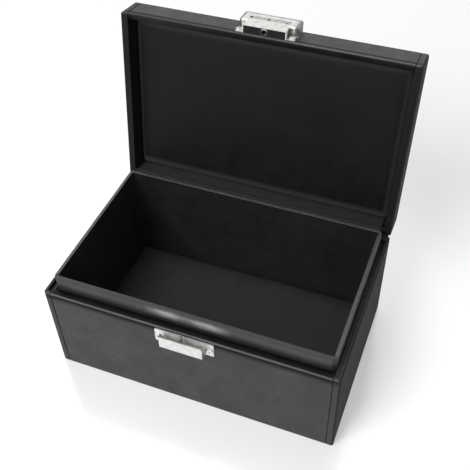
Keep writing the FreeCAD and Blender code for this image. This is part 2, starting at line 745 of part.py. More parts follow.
def make_catch_plate():
    """Plate screwed to the base, with two ears folded out to carry the pin."""
    body = new_body("catch_plate")
    face = new_sketch(body, "face", "XZ_Plane", 0)
    rectangle(face, -plate_width / 2, plate_width / 2, -plate_drop - plate_height, -plate_drop)
    pad(face, plate_thickness)
    fillet(body, "corners", plate_corner, lambda edge: edge.BoundBox.YLength > 0.1
           and edge.BoundBox.XLength < 1e-4 and edge.BoundBox.ZLength < 1e-4)
    for name, low_x in (("left_ear", -ear_outer), ("right_ear", ear_inner)):
        ear = new_sketch(body, name, "YZ_Plane", low_x)
        rectangle(ear, -(pivot_reach + ear_radius), -plate_thickness / 2,
                  pivot_level - ear_radius, pivot_level + ear_radius)
        pad(ear, ear_thickness)

    def ear_end(edge):
        box = edge.BoundBox
        across = near(box.XLength, ear_thickness) and box.YLength < 1e-4 and box.ZLength < 1e-4
        return across and near(box.YMin, -(pivot_reach + ear_radius))
    fillet(body, "ear_ends", ear_radius * 0.98, ear_end)
    bore = new_sketch(body, "pin_bore", "YZ_Plane", 0)
    circle(bore, -pivot_reach, pivot_level, pin_radius + pin_fit)
    pocket(bore, lever_width, both_ways=True)
    screw_holes(body, catch_screw_x, 0, plate_middle, overcut)
    place_on_front(body)


def place_on_pivot(body):
    """Move a sub-part drawn about the pin to the pin's place."""
    body.setExpression("Placement.Base.y", (-half_depth - pivot_reach).text)
    body.setExpression("Placement.Base.z", (base_height - pivot_drop).text)


def make_latch_lever():
    """Release lever: a folded face, floor and cheeks, with the hook in the middle."""
    body = new_body("latch_lever")
    face_y = -(lever_reach - pivot_reach)
    back_y = pivot_reach - plate_thickness - lever_stop_gap
    floor_y = pivot_reach - lever_floor_back
    low = lever_low + pivot_drop
    high = lever_high + pivot_drop
    side = new_sketch(body, "side", "YZ_Plane", 0)
    outline(side, [(face_y, low), (back_y, low), (back_y, cheek_rise),
                   (face_y + cheek_top_depth, high), (face_y, high)])
    pad(side, lever_width, both_ways=True)

    def bent(edge):
        box = edge.BoundBox
        return box.XLength > 1 and near(box.YMin, face_y) and near(box.YMax, face_y)
    fillet(body, "bends", lever_round, bent)
    hollow = new_sketch(body, "hollow", "YZ_Plane", 0)
    outline(hollow, [(face_y + lever_sheet, low + lever_sheet), (floor_y, low + lever_sheet),
                     (floor_y, low - lever_sheet), (back_y + lever_sheet, low - lever_sheet),
                     (back_y + lever_sheet, high + lever_sheet),
                     (face_y + lever_sheet, high + lever_sheet)])
    pocket(hollow, 2 * cheek_inner, both_ways=True)

    hook_back = -(hook_reach - pivot_reach)
    hook_front = hook_back - hook_sheet
    tip = hook_rise + pivot_drop
    hook = new_sketch(body, "hook", "YZ_Plane", 0)
    outline(hook, [(hook_front, low + lever_sheet / 2), (hook_back, low + lever_sheet / 2),
                   (hook_back, tip), (hook_front, tip),
                   (hook_front - barb_reach, tip - barb_height + barb_nose),
                   (hook_front - barb_reach, tip - barb_height), (hook_front, tip - barb_height)])
    pad(hook, hook_width, both_ways=True)
    bore = new_sketch(body, "pin_bore", "YZ_Plane", 0)
    circle(bore, 0, 0, pin_radius + pin_running_fit)
    pocket(bore, 2 * lever_width, both_ways=True)
    place_on_pivot(body)


def make_lever_pin():
    """Pin through the ears and the lever's cheeks, peened at both ends."""
    body = new_body("lever_pin")
    end = cheek_outer + pin_head_gap
    half = new_sketch(body, "half", "XY_Plane", 0)
    outline(half, [(-(end + pin_head), 0), (end + pin_head, 0), (end + pin_head, pin_head_radius),
                   (end, pin_head_radius), (end, pin_radius), (-end, pin_radius),
                   (-end, pin_head_radius), (-(end + pin_head), pin_head_radius)])
    turned = body.newObject("PartDesign::Revolution", "lever_pin_turned")
    turned.Profile = half
    turned.ReferenceAxis = (half, ["H_Axis"])
    turned.Angle = 360.0
    place_on_pivot(body)


def make_lever_spring():
    """Torsion spring round the pin, with a leg on the plate and one on the lever."""
    rise = spring_pitch * spring_turns
    coils = DOCUMENT.addObject("Part::Helix", "spring_coils")
    coils.setExpression("Pitch", spring_pitch.text)
    coils.setExpression("Height", rise.text)
    coils.setExpression("Radius", spring_radius.text)
    wire = DOCUMENT.addObject("Part::RegularPolygon", "spring_wire_section")
    wire.Polygon = WIRE_FACETS
    wire.setExpression("Circumradius", (spring_wire / 2).text)
    wire.Placement = FreeCAD.Placement(
        FreeCAD.Vector(), FreeCAD.Rotation(FreeCAD.Vector(1, 0, 0), 90))
    wire.setExpression("Placement.Base.x", spring_radius.text)
    swept = DOCUMENT.addObject("Part::Sweep", "spring_swept")
    DOCUMENT.recompute()
    swept.Sections = [wire]
    swept.Spine = (coils, [f"Edge{number}" for number in range(1, len(coils.Shape.Edges) + 1)])
    swept.Solid = True
    swept.Frenet = True
    foot = DOCUMENT.addObject("Part::Prism", "spring_foot_leg")
    foot.Placement = FreeCAD.Placement(
        FreeCAD.Vector(), FreeCAD.Rotation(FreeCAD.Vector(1, 0, 0), 90))
    foot.setExpression("Height", spring_foot.text)
    foot.setExpression("Placement.Base.x", spring_radius.text)
    arm = DOCUMENT.addObject("Part::Prism", "spring_arm_leg")
    arm.Placement = FreeCAD.Placement(
        FreeCAD.Vector(), FreeCAD.Rotation(FreeCAD.Vector(0, 1, 0), -90))
    arm.setExpression("Height", (lever_reach - lever_sheet - pivot_reach - spring_gap).text)
    arm.setExpression("Placement.Base.y", spring_radius.text)
    arm.setExpression("Placement.Base.z", rise.text)
    for leg in (foot, arm):
        leg.Polygon = WIRE_FACETS
        leg.setExpression("Circumradius", (spring_wire / 2).text)
    spring = DOCUMENT.addObject("Part::MultiFuse", "lever_spring")
    spring.Label = "lever_spring"
    spring.Shapes = [swept, foot, arm]
    along_pin = FreeCAD.Rotation(
        FreeCAD.Vector(0, 1, 0), FreeCAD.Vector(0, 0, 1), FreeCAD.Vector(1, 0, 0), "ZXY")
    spring.Placement = FreeCAD.Placement(FreeCAD.Vector(), along_pin)
    spring.setExpression("Placement.Base.x", spring_start.text)
    place_on_pivot(spring)


def make_screw_pair(label, screw_x, seat, level):
    """Two pan head screws with cross recesses, standing out of a seat along -Y."""
    body = new_body(label)
    for name, x in (("left", -screw_x), ("right", screw_x)):
        head = new_sketch(body, f"{name}_head", "XZ_Plane", seat)
        circle(head, x, level, screw_head_radius)
        pad(head, screw_head_height)
        shank = new_sketch(body, f"{name}_shank", "XZ_Plane", seat - screw_length)
        circle(shank, x, level, screw_shank)
        pad(shank, screw_length + screw_head_height / 2)
    front = seat + screw_head_height
    for name, tall, wide in (("upright", recess_span / 2, recess_width / 2),
                             ("level", recess_width / 2, recess_span / 2)):
        slots = new_sketch(body, f"{name}_slots", "XZ_Plane", front - recess_depth)
        for x in (-screw_x, screw_x):
            rectangle(slots, x - wide, x + wide, level - tall, level + tall)
        pocket(slots, 2 * recess_depth, along_normal=True)
    return body


# --------------------------------------------------- keeper, drawn on the shut lid

def keeper_outline(sketch, inset, foot):
    """Front view of the keeper: a narrow foot under a wide head."""
    neck = keeper_neck / 2 - inset
    head = keeper_width / 2 - inset
    shoulder = keeper_level + keeper_shoulder + inset
    high = keeper_level + keeper_rise - inset
    outline(sketch, [(-neck, foot), (neck, foot), (neck, shoulder), (head, shoulder),
                     (head, high), (-head, high), (-head, shoulder), (-neck, shoulder)])


def make_keeper_cover():
    """Polished cover of the keeper, open at its back and foot."""
    body = new_body("keeper_cover")
    seat = box_depth + keeper_plate_thickness
    front_view = new_sketch(body, "front_view", "XZ_Plane", seat)
    keeper_outline(front_view, 0, keeper_level)
    pad(front_view, keeper_reach - keeper_plate_thickness)
    slope = new_sketch(body, "slope", "YZ_Plane", 0)
    face = -box_depth - keeper_reach
    outline(slope, [(face - leather, keeper_level - leather),
                    (-box_depth - keeper_foot_reach, keeper_level - leather),
                    (-box_depth - keeper_foot_reach, keeper_level),
                    (face, keeper_level + keeper_rise), (face - leather, keeper_level + keeper_rise)])
    pocket(slope, 2 * keeper_width, both_ways=True)

    def head_corner(edge):
        box = edge.BoundBox
        along = box.YLength > 3 and box.XLength < 1e-4 and box.ZLength < 1e-4
        return along and near(abs(box.XMin), keeper_width / 2)
    fillet(body, "corners", keeper_corner, head_corner)

    def front_edge(edge):
        box = edge.BoundBox
        return (box.YMax < -box_depth.number - keeper_foot_reach.number + 0.05
                and box.ZMax > keeper_level.number + 1)
    fillet(body, "face_edges", keeper_round, front_edge)
    hollow = new_sketch(body, "hollow", "XZ_Plane", box_depth)
    keeper_outline(hollow, keeper_sheet, keeper_level - keeper_sheet)
    pocket(hollow, keeper_foot_reach - keeper_sheet, along_normal=True)
    groove = new_sketch(body, "groove", "XZ_Plane", box_depth + keeper_reach)
    level = keeper_level + groove_level
    end = keeper_width / 2 - groove_margin
    for inset in (0, groove_line):
        rectangle(groove, inset - end, end - inset, level - groove_height / 2 + inset,
                  level + groove_height / 2 - inset)
    drop = (keeper_reach - keeper_foot_reach) * (keeper_rise - groove_level) / keeper_rise
    pocket(groove, groove_depth + drop)
    place_on_lid(body)


def make_keeper_plate():
    """Flat plate behind the keeper's cover, with a foot for each screw."""
    body = new_body("keeper_plate")
    face = new_sketch(body, "face", "XZ_Plane", box_depth)
    rectangle(face, -keeper_width / 2, keeper_width / 2, keeper_level, keeper_level + keeper_rise)
    pad(face, keeper_plate_thickness)

    def corner(edge):
        box = edge.BoundBox
        return box.YLength > 0.1 and box.XLength < 1e-4 and box.ZLength < 1e-4
    fillet(body, "corners", keeper_corner, corner)
    screw_holes(body, keeper_screw_x, box_depth, lid_screw_level, overcut)
    place_on_lid(body)


def make_keeper_mouth():
    """Black insert in the keeper's foot and the eyelet that takes the hook."""
    side = keeper_neck / 2 - keeper_sheet - insert_gap
    back = -box_depth - keeper_plate_thickness
    front = -box_depth - keeper_foot_reach + keeper_sheet + insert_gap
    insert = board("keeper_insert", -side, side, front, back,
                   keeper_level, keeper_level + insert_thickness)
    hole = new_sketch(insert, "eyelet_hole", "XY_Plane", keeper_level)
    circle(hole, 0, -box_depth - eyelet_reach, eyelet_tube)
    pocket(hole, 2 * insert_thickness, along_normal=True)
    place_on_lid(insert)

    eyelet = new_body("keeper_eyelet")
    flange = new_sketch(eyelet, "flange", "XY_Plane", keeper_level - eyelet_lip)
    circle(flange, 0, -box_depth - eyelet_reach, eyelet_flange)
    pad(flange, eyelet_lip)
    tube = new_sketch(eyelet, "tube", "XY_Plane", keeper_level - eyelet_lip)
    circle(tube, 0, -box_depth - eyelet_reach, eyelet_tube)
    pad(tube, eyelet_lip + insert_thickness)
    bore = new_sketch(eyelet, "bore", "XY_Plane", 0)
    circle(bore, 0, -box_depth - eyelet_reach, eyelet_bore)
    pocket(bore, keeper_level + 2 * insert_thickness, along_normal=True)
    place_on_lid(eyelet)


# ---------------------------------------------------------------------- assembly

def check_document():
    """Stop if any object failed to build."""
    for item in DOCUMENT.Objects:
        if any(state in FAILED_STATES for state in item.State):
            raise RuntimeError(f"{item.Label} is {item.State}")


def export_sub_parts():
    """Write each sub-part to its own STEP file."""
    os.makedirs("parts", exist_ok=True)
    kinds = ("PartDesign::Body", "Part::MultiFuse")
    for item in DOCUMENT.Objects:
        if item.TypeId not in kinds:
            continue
        if item.Shape.isNull() or not item.Shape.isValid():
            raise RuntimeError(f"{item.Label} has no valid shape")
        item.Shape.exportStep(os.path.join("parts", f"{item.Label}.step"))
        print(f"{item.Label}: {len(item.Shape.Solids)} solid, {item.Shape.Volume:.1f} mm3")


make_bottom_cover()
make_base_leather()
make_base_front_leather()
make_base_boards()
make_collar()
make_lid_leather()
make_lid_front_leather()
make_lid_boards()
make_hinge_leather()
make_hinge_lining()
make_catch_plate()
make_latch_lever()
make_lever_pin()
make_lever_spring()
place_on_front(make_screw_pair("catch_screws", catch_screw_x, plate_thickness, plate_middle))
make_keeper_cover()
make_keeper_plate()
make_keeper_mouth()
place_on_lid(make_screw_pair("keeper_screws", keeper_screw_x,
                             box_depth + keeper_plate_thickness, lid_screw_level))
DOCUMENT.recompute()
check_document()
export_sub_parts()
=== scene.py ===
"""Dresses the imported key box: leathers, padded lid, hinge strips, latch, floor, lamps, camera."""

from __future__ import annotations

import json
import logging
import math
from dataclasses import dataclass, field, replace
from enum import Enum
from typing import Callable, Iterable, Sequence

import bmesh
import bpy
from mathutils import Matrix, Vector, noise


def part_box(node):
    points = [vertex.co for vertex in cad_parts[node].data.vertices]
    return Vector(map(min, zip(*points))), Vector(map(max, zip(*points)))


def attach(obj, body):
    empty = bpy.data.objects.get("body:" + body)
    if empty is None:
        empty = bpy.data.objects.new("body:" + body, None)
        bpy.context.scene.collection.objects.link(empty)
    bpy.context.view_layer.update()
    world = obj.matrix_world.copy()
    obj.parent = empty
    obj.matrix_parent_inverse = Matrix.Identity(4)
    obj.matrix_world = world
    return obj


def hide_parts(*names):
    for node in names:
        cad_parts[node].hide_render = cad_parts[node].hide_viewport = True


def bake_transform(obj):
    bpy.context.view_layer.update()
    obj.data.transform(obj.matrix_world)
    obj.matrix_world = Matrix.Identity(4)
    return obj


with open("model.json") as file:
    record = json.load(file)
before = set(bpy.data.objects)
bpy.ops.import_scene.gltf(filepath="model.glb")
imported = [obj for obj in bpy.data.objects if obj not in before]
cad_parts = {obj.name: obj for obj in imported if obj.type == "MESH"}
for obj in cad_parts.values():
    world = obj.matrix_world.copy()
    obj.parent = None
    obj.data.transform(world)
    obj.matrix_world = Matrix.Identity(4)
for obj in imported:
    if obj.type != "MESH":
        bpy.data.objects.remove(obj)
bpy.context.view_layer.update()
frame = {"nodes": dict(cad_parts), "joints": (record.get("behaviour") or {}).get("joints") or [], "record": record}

LOG = logging.getLogger("key_box")
MM = 0.001
NEAR = 1e-6
CLEAR = 0.05 * MM
LEATHER = 0.8 * MM
LINING = 0.5 * MM
COLLAR_WALL = 2.2 * MM
SEAM_GAP = 0.3 * MM
SEAM_WIDTH = 0.7 * MM
SEAM_DEPTH = 0.4 * MM
HINGE_FLAP = 3.0 * MM
SIDE_CORNER = 1.6 * MM
SEAM_STEPS = (0.25, 0.5, 0.75, 1.0)
X_AXIS = Vector((1.0, 0.0, 0.0))
Y_AXIS = Vector((0.0, 1.0, 0.0))
Z_AXIS = Vector((0.0, 0.0, 1.0))


def near(first: float, second: float) -> bool:
    """Whether two places are the same, within the exactness of the meshes."""
    return abs(first - second) < NEAR


def is_upright(first: Vector, second: Vector) -> bool:
    """Whether an edge of a straight block stands upright."""
    return abs(first.z - second.z) > MM


def lies_at(height: float) -> Callable[[Vector, Vector], bool]:
    """Makes the test of whether both ends of an edge lie at one height."""
    return lambda first, second: near(first.z, height) and near(second.z, height)


def log_faces(piece: bpy.types.Object) -> None:
    """Notes how many faces a finished piece has."""
    LOG.info("%s: %d faces", piece.name, len(piece.data.polygons))


class Side(Enum):
    """Left and right of the box, as seen from the latch."""

    LEFT = -1.0
    RIGHT = 1.0


class Shading(Enum):
    """How a finished mesh is shaded: soft everywhere, or with crisp edges."""

    SOFT = 180.0
    CRISP = 32.0


# ------------------------------------------------------------------ places


@dataclass(frozen=True)
class Block:
    """A straight sided space between two corners, in metres."""

    low: Vector
    high: Vector

    @classmethod
    def of(cls, node: str) -> Block:
        """The space that a CAD node takes at rest.

        Args:
            node: Name of the CAD node.

        Returns:
            The node's block.
        """
        return cls(*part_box(node))

    def middle(self) -> Vector:
        """The centre of the block."""
        return (self.low + self.high) / 2

    def covers(self, at: Vector) -> bool:
        """Whether a point lies over the block, as seen from above."""
        return self.low.x < at.x < self.high.x and self.low.y < at.y < self.high.y

    def grown(self, by: float) -> Block:
        """The block with every side moved outwards.

        Args:
            by: Distance to move each side, negative to shrink.

        Returns:
            The new block.
        """
        step = Vector((by, by, by))
        return Block(self.low - step, self.high + step)


class LidHinge:
    """Where the lid turns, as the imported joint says."""

    def __init__(self, joints: Sequence[dict]) -> None:
        """Reads the joint.

        Args:
            joints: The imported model's joints.
        """
        joint = next(item for item in joints if item["name"] == "lid_hinge")
        self.at = Vector(joint["pos_m"])
        self.angle = math.radians(joint["range_deg"][1])

    def opening(self) -> Matrix:
        """The turn that takes a shut lid to the open one."""
        turn = Matrix.Rotation(-self.angle, 4, X_AXIS)
        return Matrix.Translation(self.at) @ turn @ Matrix.Translation(-self.at)

    def shut_block(self, node: str) -> Block:
        """The space that one of the lid's nodes takes when the lid is shut.

        Args:
            node: Name of the CAD node.

        Returns:
            The node's block with the lid turned down.
        """
        closing = self.opening().inverted()
        corners = [closing @ vert.co for vert in frame["nodes"][node].data.vertices]
        low = Vector([min(corner[axis] for corner in corners) for axis in range(3)])
        high = Vector([max(corner[axis] for corner in corners) for axis in range(3)])
        return Block(low, high)


# ------------------------------------------------------------------ meshes


class Form:
    """A mesh in the making, with the operators that this box's pieces need."""

    def __init__(self) -> None:
        """Starts an empty mesh."""
        self.bm = bmesh.new()

    def everything(self) -> list:
        """All vertices, edges and faces so far."""
        return [*self.bm.verts, *self.bm.edges, *self.bm.faces]

    def block(self, space: Block) -> None:
        """Adds a straight sided block.

        Args:
            space: The space that the block fills.
        """
        verts = bmesh.ops.create_cube(self.bm, size=1.0)["verts"]
        bmesh.ops.scale(self.bm, vec=space.high - space.low, verts=verts)
        bmesh.ops.translate(self.bm, vec=space.middle(), verts=verts)

    def slice(self, axis: int, *places: float) -> None:
        """Cuts every face that a plane crosses, and keeps both sides.

        Args:
            axis: 0, 1 or 2 for a plane across X, Y or Z.
            *places: Where the planes stand on that axis.
        """
        normal = Vector([float(axis == index) for index in range(3)])
        for place in places:
            bmesh.ops.bisect_plane(self.bm, geom=self.everything(), dist=1e-7,
                                   plane_co=normal * place, plane_no=normal)

    def drop(self, chosen: Callable[[Vector], bool]) -> None:
        """Deletes faces.

        Args:
            chosen: Says whether to delete a face, from its middle.
        """
        faces = [face for face in self.bm.faces if chosen(face.calc_center_median())]
        bmesh.ops.delete(self.bm, geom=faces, context="FACES")

    def edges(self, chosen: Callable[[Vector, Vector], bool]) -> list[bmesh.types.BMEdge]:
        """Finds edges by their two ends.

        Args:
            chosen: Says whether an edge is wanted, from its ends.

        Returns:
            The edges.
        """
        return [edge for edge in self.bm.edges if chosen(edge.verts[0].co, edge.verts[1].co)]

    def ease(self, edges: Iterable[bmesh.types.BMEdge], width: float, segments: int) -> None:
        """Rounds edges.

        Args:
            edges: The edges to round.
            width: How far the rounding reaches from each edge.
            segments: Number of steps in the rounding.
        """
        bmesh.ops.bevel(self.bm, geom=list(edges), offset=width, offset_type="OFFSET",
                        segments=segments, profile=0.5, affect="EDGES", material=-1,
                        clamp_overlap=True)

    def open_edges(self) -> list[bmesh.types.BMEdge]:
        """Edges with a face on one side only."""
        return [edge for edge in self.bm.edges if edge.is_boundary]

    def turn_in(self, edges: Iterable[bmesh.types.BMEdge], move: Vector) -> None:
        """Draws open edges out into a new band of faces.

        Args:
            edges: The open edges.
            move: Where the band's far side lies from them.
        """
        made = bmesh.ops.extrude_edge_only(self.bm, edges=list(edges))["geom"]
        verts = [item for item in made if isinstance(item, bmesh.types.BMVert)]
        bmesh.ops.translate(self.bm, vec=move, verts=verts)

    def chain(self, points: Sequence[Vector]) -> list[bmesh.types.BMEdge]:
        """Adds a row of edges through points.

        Args:
            points: The points in order.

        Returns:
            The edges.
        """
        verts = [self.bm.verts.new(point) for point in points]
        return [self.bm.edges.new(pair) for pair in zip(verts, verts[1:])]

    def prism(self, points: Sequence[Vector], move: Vector) -> None:
        """Adds a straight bar with a closed section.

        Args:
            points: Corners of the section in order.
            move: The bar's whole length, as a step.
        """
        face = self.bm.faces.new([self.bm.verts.new(point) for point in points])
        made = bmesh.ops.extrude_face_region(self.bm, geom=[face])["geom"]
        verts = [item for item in made if isinstance(item, bmesh.types.BMVert)]
        bmesh.ops.translate(self.bm, vec=move, verts=verts)

    def draw_along(self, edges: Iterable[bmesh.types.BMEdge], move: Vector, steps: int) -> None:
        """Draws edges out into a strip of even bands.

        Args:
            edges: The edges to draw out.
            move: The whole way that they go.
            steps: Number of bands.
        """
        front = list(edges)
        for _ in range(steps):
            made = bmesh.ops.extrude_edge_only(self.bm, edges=front)["geom"]
            verts = [item for item in made if isinstance(item, bmesh.types.BMVert)]
            bmesh.ops.translate(self.bm, vec=move / steps, verts=verts)
            front = [item for item in made if isinstance(item, bmesh.types.BMEdge)]

    def shift(self, move: Callable[[Vector], Vector]) -> None:
        """Moves each vertex by its own small step.

        Args:
            move: Gives the step from the vertex's place.
        """
        for vert in self.bm.verts:
            vert.co += move(vert.co)

    def finish(self, name: str, material: bpy.types.Material, shading: Shading,
               place: Matrix | None = None, facing: Vector | None = None) -> bpy.types.Object:
        """Makes the object.

        Args:
            name: Name of the piece.
            material: Its finish.
            shading: How its edges are shaded.
            place: A last turn or move of the whole mesh.
            facing: For an open skin, the way that most of its area faces.

        Returns:
            The new object, at the origin.
        """
        bmesh.ops.remove_doubles(self.bm, verts=self.bm.verts, dist=NEAR)
        bmesh.ops.recalc_face_normals(self.bm, faces=self.bm.faces)
        if facing is not None:
            turned = sum(face.normal.dot(facing) * face.calc_area() for face in self.bm.faces)
            if turned < 0.0:
                bmesh.ops.reverse_faces(self.bm, faces=self.bm.faces)
        if place is not None:
            bmesh.ops.transform(self.bm, matrix=place, verts=self.bm.verts)
        mesh = bpy.data.meshes.new(name)
        self.bm.to_mesh(mesh)
        self.bm.free()
        return self.placed(name, mesh, material, shading)

    @staticmethod
    def placed(name: str, mesh: bpy.types.Mesh, material: bpy.types.Material,
               shading: Shading) -> bpy.types.Object:
        """Puts a finished mesh into the scene.

        Args:
            name: Name of the piece.
            mesh: Its mesh.
            material: Its finish.
            shading: How its edges are shaded.

        Returns:
            The new object.
        """
        mesh.materials.append(material)
        mesh.shade_smooth()
        if shading is not Shading.SOFT:
            mesh.set_sharp_from_angle(angle=math.radians(shading.value))
        piece = bpy.data.objects.new(name, mesh)
        bpy.context.scene.collection.objects.link(piece)
        return piece


def thicken(piece: bpy.types.Object, depth: float) -> None:
    """Gives a skin its thickness, inwards from its face.

    Args:
        piece: The skin.
        depth: Its thickness.
    """
    wall = piece.modifiers.new("thickness", "SOLIDIFY")
    wall.thickness = depth
    wall.offset = -1.0


def seam_dip(gap: float, width: float, depth: float) -> float:
    """How far a leather's face sinks beside a seam.

    Args:
        gap: Distance from the leather's edge.
        width: Width of the rounded border.
        depth: How far the very edge sinks.

    Returns:
        The sinking at that distance.
    """
    share = max(0.0, 1.0 - gap / width)
    return depth * (1.0 - math.sqrt(max(0.0, 1.0 - share * share)))


def level_normals(piece: bpy.types.Object) -> None:
    """Keeps large flat faces shading flat beside their rounded edges.

    Args:
        piece: The piece to treat.
    """
    level = piece.modifiers.new("level", "WEIGHTED_NORMAL")
    level.keep_sharp = True
    level.weight = 80


def break_edges(node: str, width: float, segments: int = 2) -> None:
    """Takes the sharpness off a metal part's edges.

    Args:
        node: Name of the CAD node.
        width: Width of the broken edge.
        segments: Number of steps in it.
    """
    piece = frame["nodes"][node]
    joined = piece.modifiers.new("joined", "WELD")
    joined.merge_threshold = 2e-6
    broken = piece.modifiers.new("broken_edges", "BEVEL")
    broken.width = width
    broken.segments = segments
    broken.limit_method = "ANGLE"
    broken.angle_limit = math.radians(35.0)
    broken.harden_normals = True


def ripple(place: Vector, pitch: float, seed: float) -> float:
    """A slow, seeded wave between -1 and 1.

    Args:
        place: Where to read the wave.
        pitch: Size of its swells.
        seed: Which wave.

    Returns:
        The wave's height there.
    """
    return noise.noise(place / pitch + Vector((seed, -seed, 2.0 * seed)))


# ------------------------------------------------------------------ shader nodes


class Tree:
    """Short hand for adding linked nodes to a node tree."""

    def __init__(self, tree: bpy.types.NodeTree) -> None:
        """Takes the tree to add to.

        Args:
            tree: The node tree.
        """
        self.tree = tree

    def add(self, kind: str, values: dict | None = None, **settings: object) -> bpy.types.Node:
        """Adds a node.

        Args:
            kind: The node's type name.
            values: Input names or numbers, with a value or the socket that feeds each.
            **settings: Settings of the node itself.

        Returns:
            The node.
        """
        node = self.tree.nodes.new(kind)
        for name, setting in settings.items():
            setattr(node, name, setting)
        for key, value in (values or {}).items():
            self.feed(node.inputs[key], value)
        return node

    def feed(self, socket: bpy.types.NodeSocket, value: object) -> None:
        """Links an input or sets its value.

        Args:
            socket: The input.
            value: A value or the socket that feeds it.
        """
        if isinstance(value, bpy.types.NodeSocket):
            self.tree.links.new(value, socket)
        else:
            socket.default_value = value

    def math(self, operation: str, *values: object) -> bpy.types.NodeSocket:
        """Adds a Math node.

        Args:
            operation: What it works out.
            *values: Its inputs.

        Returns:
            Its result.
        """
        return self.add("ShaderNodeMath", dict(enumerate(values)), operation=operation).outputs[0]

    def vector(self, operation: str, *values: object) -> bpy.types.NodeSocket:
        """Adds a Vector Math node.

        Args:
            operation: What it works out.
            *values: Its inputs.

        Returns:
            Its result, a vector.
        """
        return self.add("ShaderNodeVectorMath", dict(enumerate(values)),
                        operation=operation).outputs["Vector"]

    def spread(self, value: object, low: float, high: float, to_low: float = 0.0,
               to_high: float = 1.0) -> bpy.types.NodeSocket:
        """Maps a value from one range to another, held at its ends.

        Args:
            value: The value's socket.
            low: Lower end of the range it comes in.
            high: Upper end of that range.
            to_low: What the lower end becomes.
            to_high: What the upper end becomes.

        Returns:
            The mapped value.
        """
        inputs = {"Value": value, "From Min": low, "From Max": high,
                  "To Min": to_low, "To Max": to_high}
        return self.add("ShaderNodeMapRange", inputs).outputs["Result"]

    def noise(self, place: object, scale: object, detail: float = 2.0, roughness: float = 0.5,
              output: str = "Fac") -> bpy.types.NodeSocket:
        """Adds a Noise Texture.

        Args:
            place: Where it is read.
            scale: Its scale, a number or a socket.
            detail: Its detail.
            roughness: Its roughness.
            output: Which of its outputs is wanted.

        Returns:
            That output.
        """
        inputs = {"Vector": place, "Scale": scale, "Detail": detail, "Roughness": roughness}
        return self.add("ShaderNodeTexNoise", inputs).outputs[output]

    def blend(self, factor: object, first: object, second: object) -> bpy.types.NodeSocket:
        """Mixes two colours.

        Args:
            factor: Share of the second one.
            first: A colour or socket.
            second: A colour or socket.

        Returns:
            The mixed colour.
        """
        values = {0: factor, 6: first, 7: second}
        return self.add("ShaderNodeMix", values, data_type="RGBA").outputs[2]


class Pattern(Tree):
    """A shader node group of plain values in the making."""

    def __init__(self, name: str, inputs: dict[str, float | tuple[float, float, float]],
                 outputs: Sequence[str] = ("Relief", "Tone", "Gloss")) -> None:
        """Starts the group.

        Args:
            name: Name of the group.
            inputs: Its inputs beside the place, each with its usual number or vector.
            outputs: Its outputs.
        """
        super().__init__(bpy.data.node_groups.new(name, "ShaderNodeTree"))
        sockets = self.tree.interface
        sockets.new_socket("Place", in_out="INPUT", socket_type="NodeSocketVector")
        for label, value in inputs.items():
            kind = "NodeSocketVector" if isinstance(value, tuple) else "NodeSocketFloat"
            sockets.new_socket(label, in_out="INPUT", socket_type=kind).default_value = value
        for label in outputs:
            sockets.new_socket(label, in_out="OUTPUT", socket_type="NodeSocketFloat")
        self.given = self.tree.nodes.new("NodeGroupInput").outputs
        self.result = self.tree.nodes.new("NodeGroupOutput").inputs

    def give(self, **values: bpy.types.NodeSocket) -> bpy.types.NodeTree:
        """Links the group's outputs.

        Args:
            **values: What each output gives.

        Returns:
            The finished group.
        """
        for label, value in values.items():
            self.tree.links.new(value, self.result[label])
        return self.tree


def leather_group() -> bpy.types.NodeTree:
    """Pebbled grain of pressed leather: its relief, patchy tone and patchy gloss."""
    tree = Pattern("leather_grain", {"Pitch": 900.0, "Swell": 40.0})
    place, pitch, slowness = tree.given["Place"], tree.given["Pitch"], tree.given["Swell"]
    wander = tree.noise(place, pitch, output="Color")
    moved = tree.vector("ADD", place, tree.vector("MULTIPLY", wander, (7e-4,) * 3))
    pebble = tree.add("ShaderNodeTexVoronoi", {"Vector": moved, "Scale": pitch},
                      feature="DISTANCE_TO_EDGE").outputs["Distance"]
    dome = tree.math("POWER", tree.spread(pebble, 0.0, 0.28), 0.55)
    pore = tree.noise(place, tree.math("MULTIPLY", pitch, 1.7), 4.0, 0.6)
    roll = tree.noise(place, tree.math("MULTIPLY", pitch, 0.17), 3.0)
    fine = tree.math("ADD", dome, tree.math("MULTIPLY", pore, 0.45))
    relief = tree.math("ADD", fine, tree.math("MULTIPLY", roll, 5.0))
    swell = tree.noise(place, slowness, 5.0, 0.55)
    rub = tree.noise(place, tree.math("MULTIPLY", slowness, 3.3), 6.0, 0.6)
    slow = tree.math("ADD", tree.math("MULTIPLY", swell, 0.45), tree.math("MULTIPLY", rub, 0.3))
    tone = tree.math("ADD", slow, tree.math("MULTIPLY", roll, 0.25))
    return tree.give(Relief=relief, Tone=tree.spread(tone, 0.36, 0.64),
                     Gloss=tree.spread(rub, 0.35, 0.65))


def polish_group() -> bpy.types.NodeTree:
    """Handled, polished metal: hairline scratches, smudges and a slow unevenness."""
    tree = Pattern("metal_polish", {"Pitch": 1400.0, "Smudge": 260.0})
    place, size = tree.given["Place"], tree.given["Smudge"]
    drawn = tree.add("ShaderNodeMapping", {"Vector": place, "Scale": (0.06, 1.0, 1.0)})
    lines = tree.noise(drawn.outputs[0], tree.given["Pitch"], 6.0, 0.7)
    smudge = tree.noise(place, size, 4.0, 0.6)
    slow = tree.noise(place, tree.math("MULTIPLY", size, 0.4))
    relief = tree.math("ADD", tree.math("MULTIPLY", lines, 0.12), slow)
    return tree.give(Relief=relief, Tone=tree.spread(smudge, 0.4, 0.62),
                     Gloss=tree.spread(lines, 0.3, 0.7))


